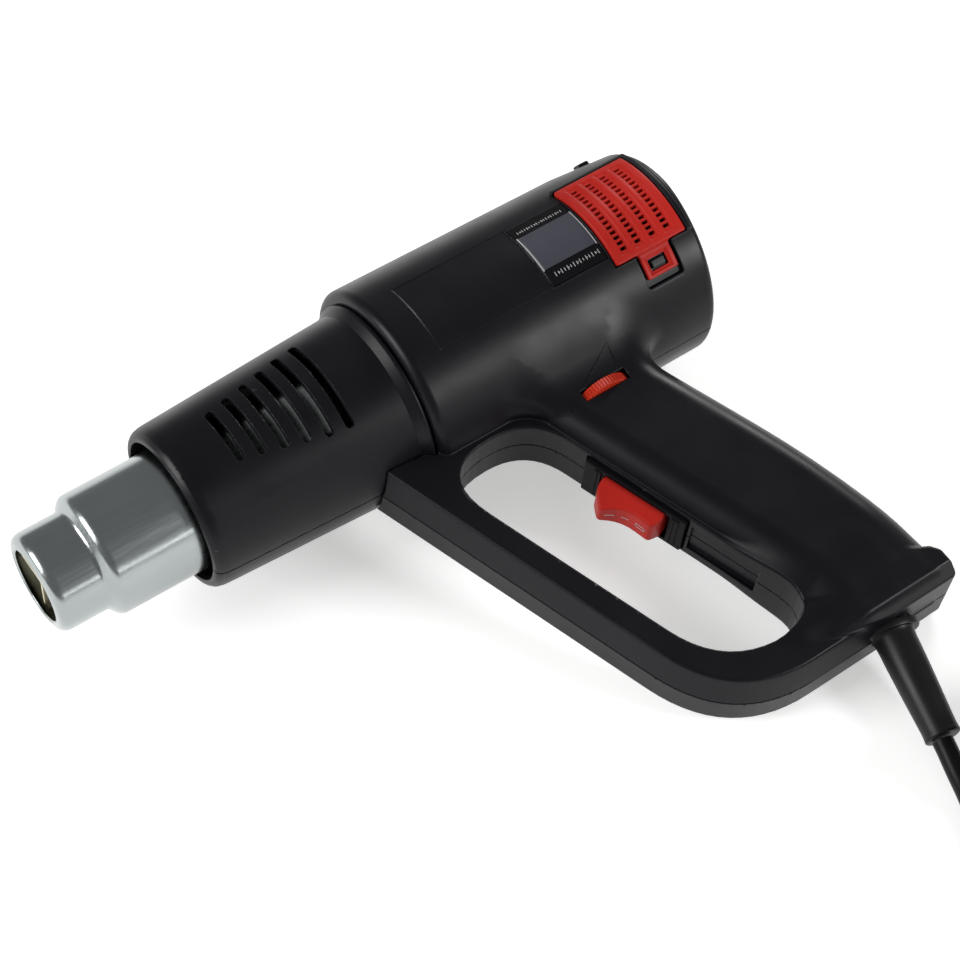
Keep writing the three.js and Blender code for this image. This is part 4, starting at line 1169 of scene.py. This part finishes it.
def add_small_parts():
    fine = grain_step(0.2)
    # Name, field, box, cell size, material, body, slot and the CAD nodes that it stands for.
    for name, field, low, high, step, material, body, slot, replaced in (
        ("intake_grille", cover, (209, -31, 15), (239.5, 20, 40), fine,
         "red_plastic", "cover", "red_plastic", ["intake_cover"]),
        ("rocker_key", rocker, (158, -98, -7), (186, -63, 7), fine,
         "red_plastic", "rocker", "red_plastic", ["rocker_button"]),
        ("rocker_print", rocker_print, (160, -92, -2), (175, -70, 2), fine / 2,
         "white_print", "rocker", "cream_plastic", []),
        ("switch_frame", bezel, (163, -101, -9), (184, -60, 9), fine,
         "dark_plastic", "body", "dark_plastic", ["switch_bezel"]),
        ("arrow_mark", arrow_mark, (177, -44, 12), (197, -33, 36), fine / 2,
         "label_black", "body", "black_plastic", []),
    ):
        add_piece(name, field_mesh(name, field, low, high, step), material, body, slot, replaced)
    add_label()
    add_wheel()
    add_nozzle()
    add_boot()
    add_screws()


add_small_parts()

# ----------------------------------------------------------------- CAD nodes
for part in frame["record"]["subparts"]:
    cad_node = frame["nodes"][part["node"]]
    for material_slot in cad_node.material_slots:
        material_slot.material = MATERIALS[part["material_slot"]]


# --------------------------------------------------------------------- stage
FLOOR_HALF = 6
FLOOR_WHITE = (0.85, 0.85, 0.85)
FLOOR_GLOW = 0.5  # the table is lit from below
WORLD_LIGHT = 0.24
LIGHT_DISTANCE = 2.2
# Each soft light's direction from the gun, its size in metres and its power in watts.
LIGHTS = {
    "front": ((0.54, -0.70, 0.47), (0.7, 0.30), 24),
    "left": ((-0.8, 0.3, 0.52), (1.2, 1.2), 42),
    "strip": ((0.2, -0.97, 0.16), (1.4, 0.10), 2.8),
    "right": ((0.75, 0.5, 0.42), (0.8, 0.5), 18),
}


def add_stage():
    corners = [(FLOOR_HALF * x, FLOOR_HALF * y, 0) for x, y in ((-1, -1), (1, -1), (1, 1), (-1, 1))]
    mesh = mesh_of("floor", corners, [(0, 1, 2, 3)], False)
    material, surface = shader("floor", FLOOR_WHITE, 0.6, shine=0.1)
    surface.inputs["Emission Color"].default_value = (1, 1, 0.99, 1)
    surface.inputs["Emission Strength"].default_value = FLOOR_GLOW
    mesh.materials.append(material)
    floor = bpy.data.objects.new("floor", mesh)
    bpy.context.scene.collection.objects.link(floor)


def add_light(name, place, size, energy):
    """A rectangular light that faces the frame's origin."""
    data = bpy.data.lights.new(name, "AREA")
    data.shape = "RECTANGLE"
    data.size, data.size_y = size
    data.energy = energy
    light = bpy.data.objects.new(name, data)
    light.location = place
    light.rotation_euler = (-place).to_track_quat("-Z", "Y").to_euler()
    bpy.context.scene.collection.objects.link(light)


def add_lights():
    world = bpy.data.worlds.new("studio")
    world.use_nodes = True
    background = world.node_tree.nodes["Background"]
    background.inputs["Color"].default_value = (1, 1, 1, 1)
    background.inputs["Strength"].default_value = WORLD_LIGHT
    bpy.context.scene.world = world
    bpy.context.scene.view_settings.view_transform = "Standard"
    for name, (direction, size, energy) in LIGHTS.items():
        add_light(name, Vector(direction).normalized() * LIGHT_DISTANCE, size, energy)


add_stage()
add_lights()
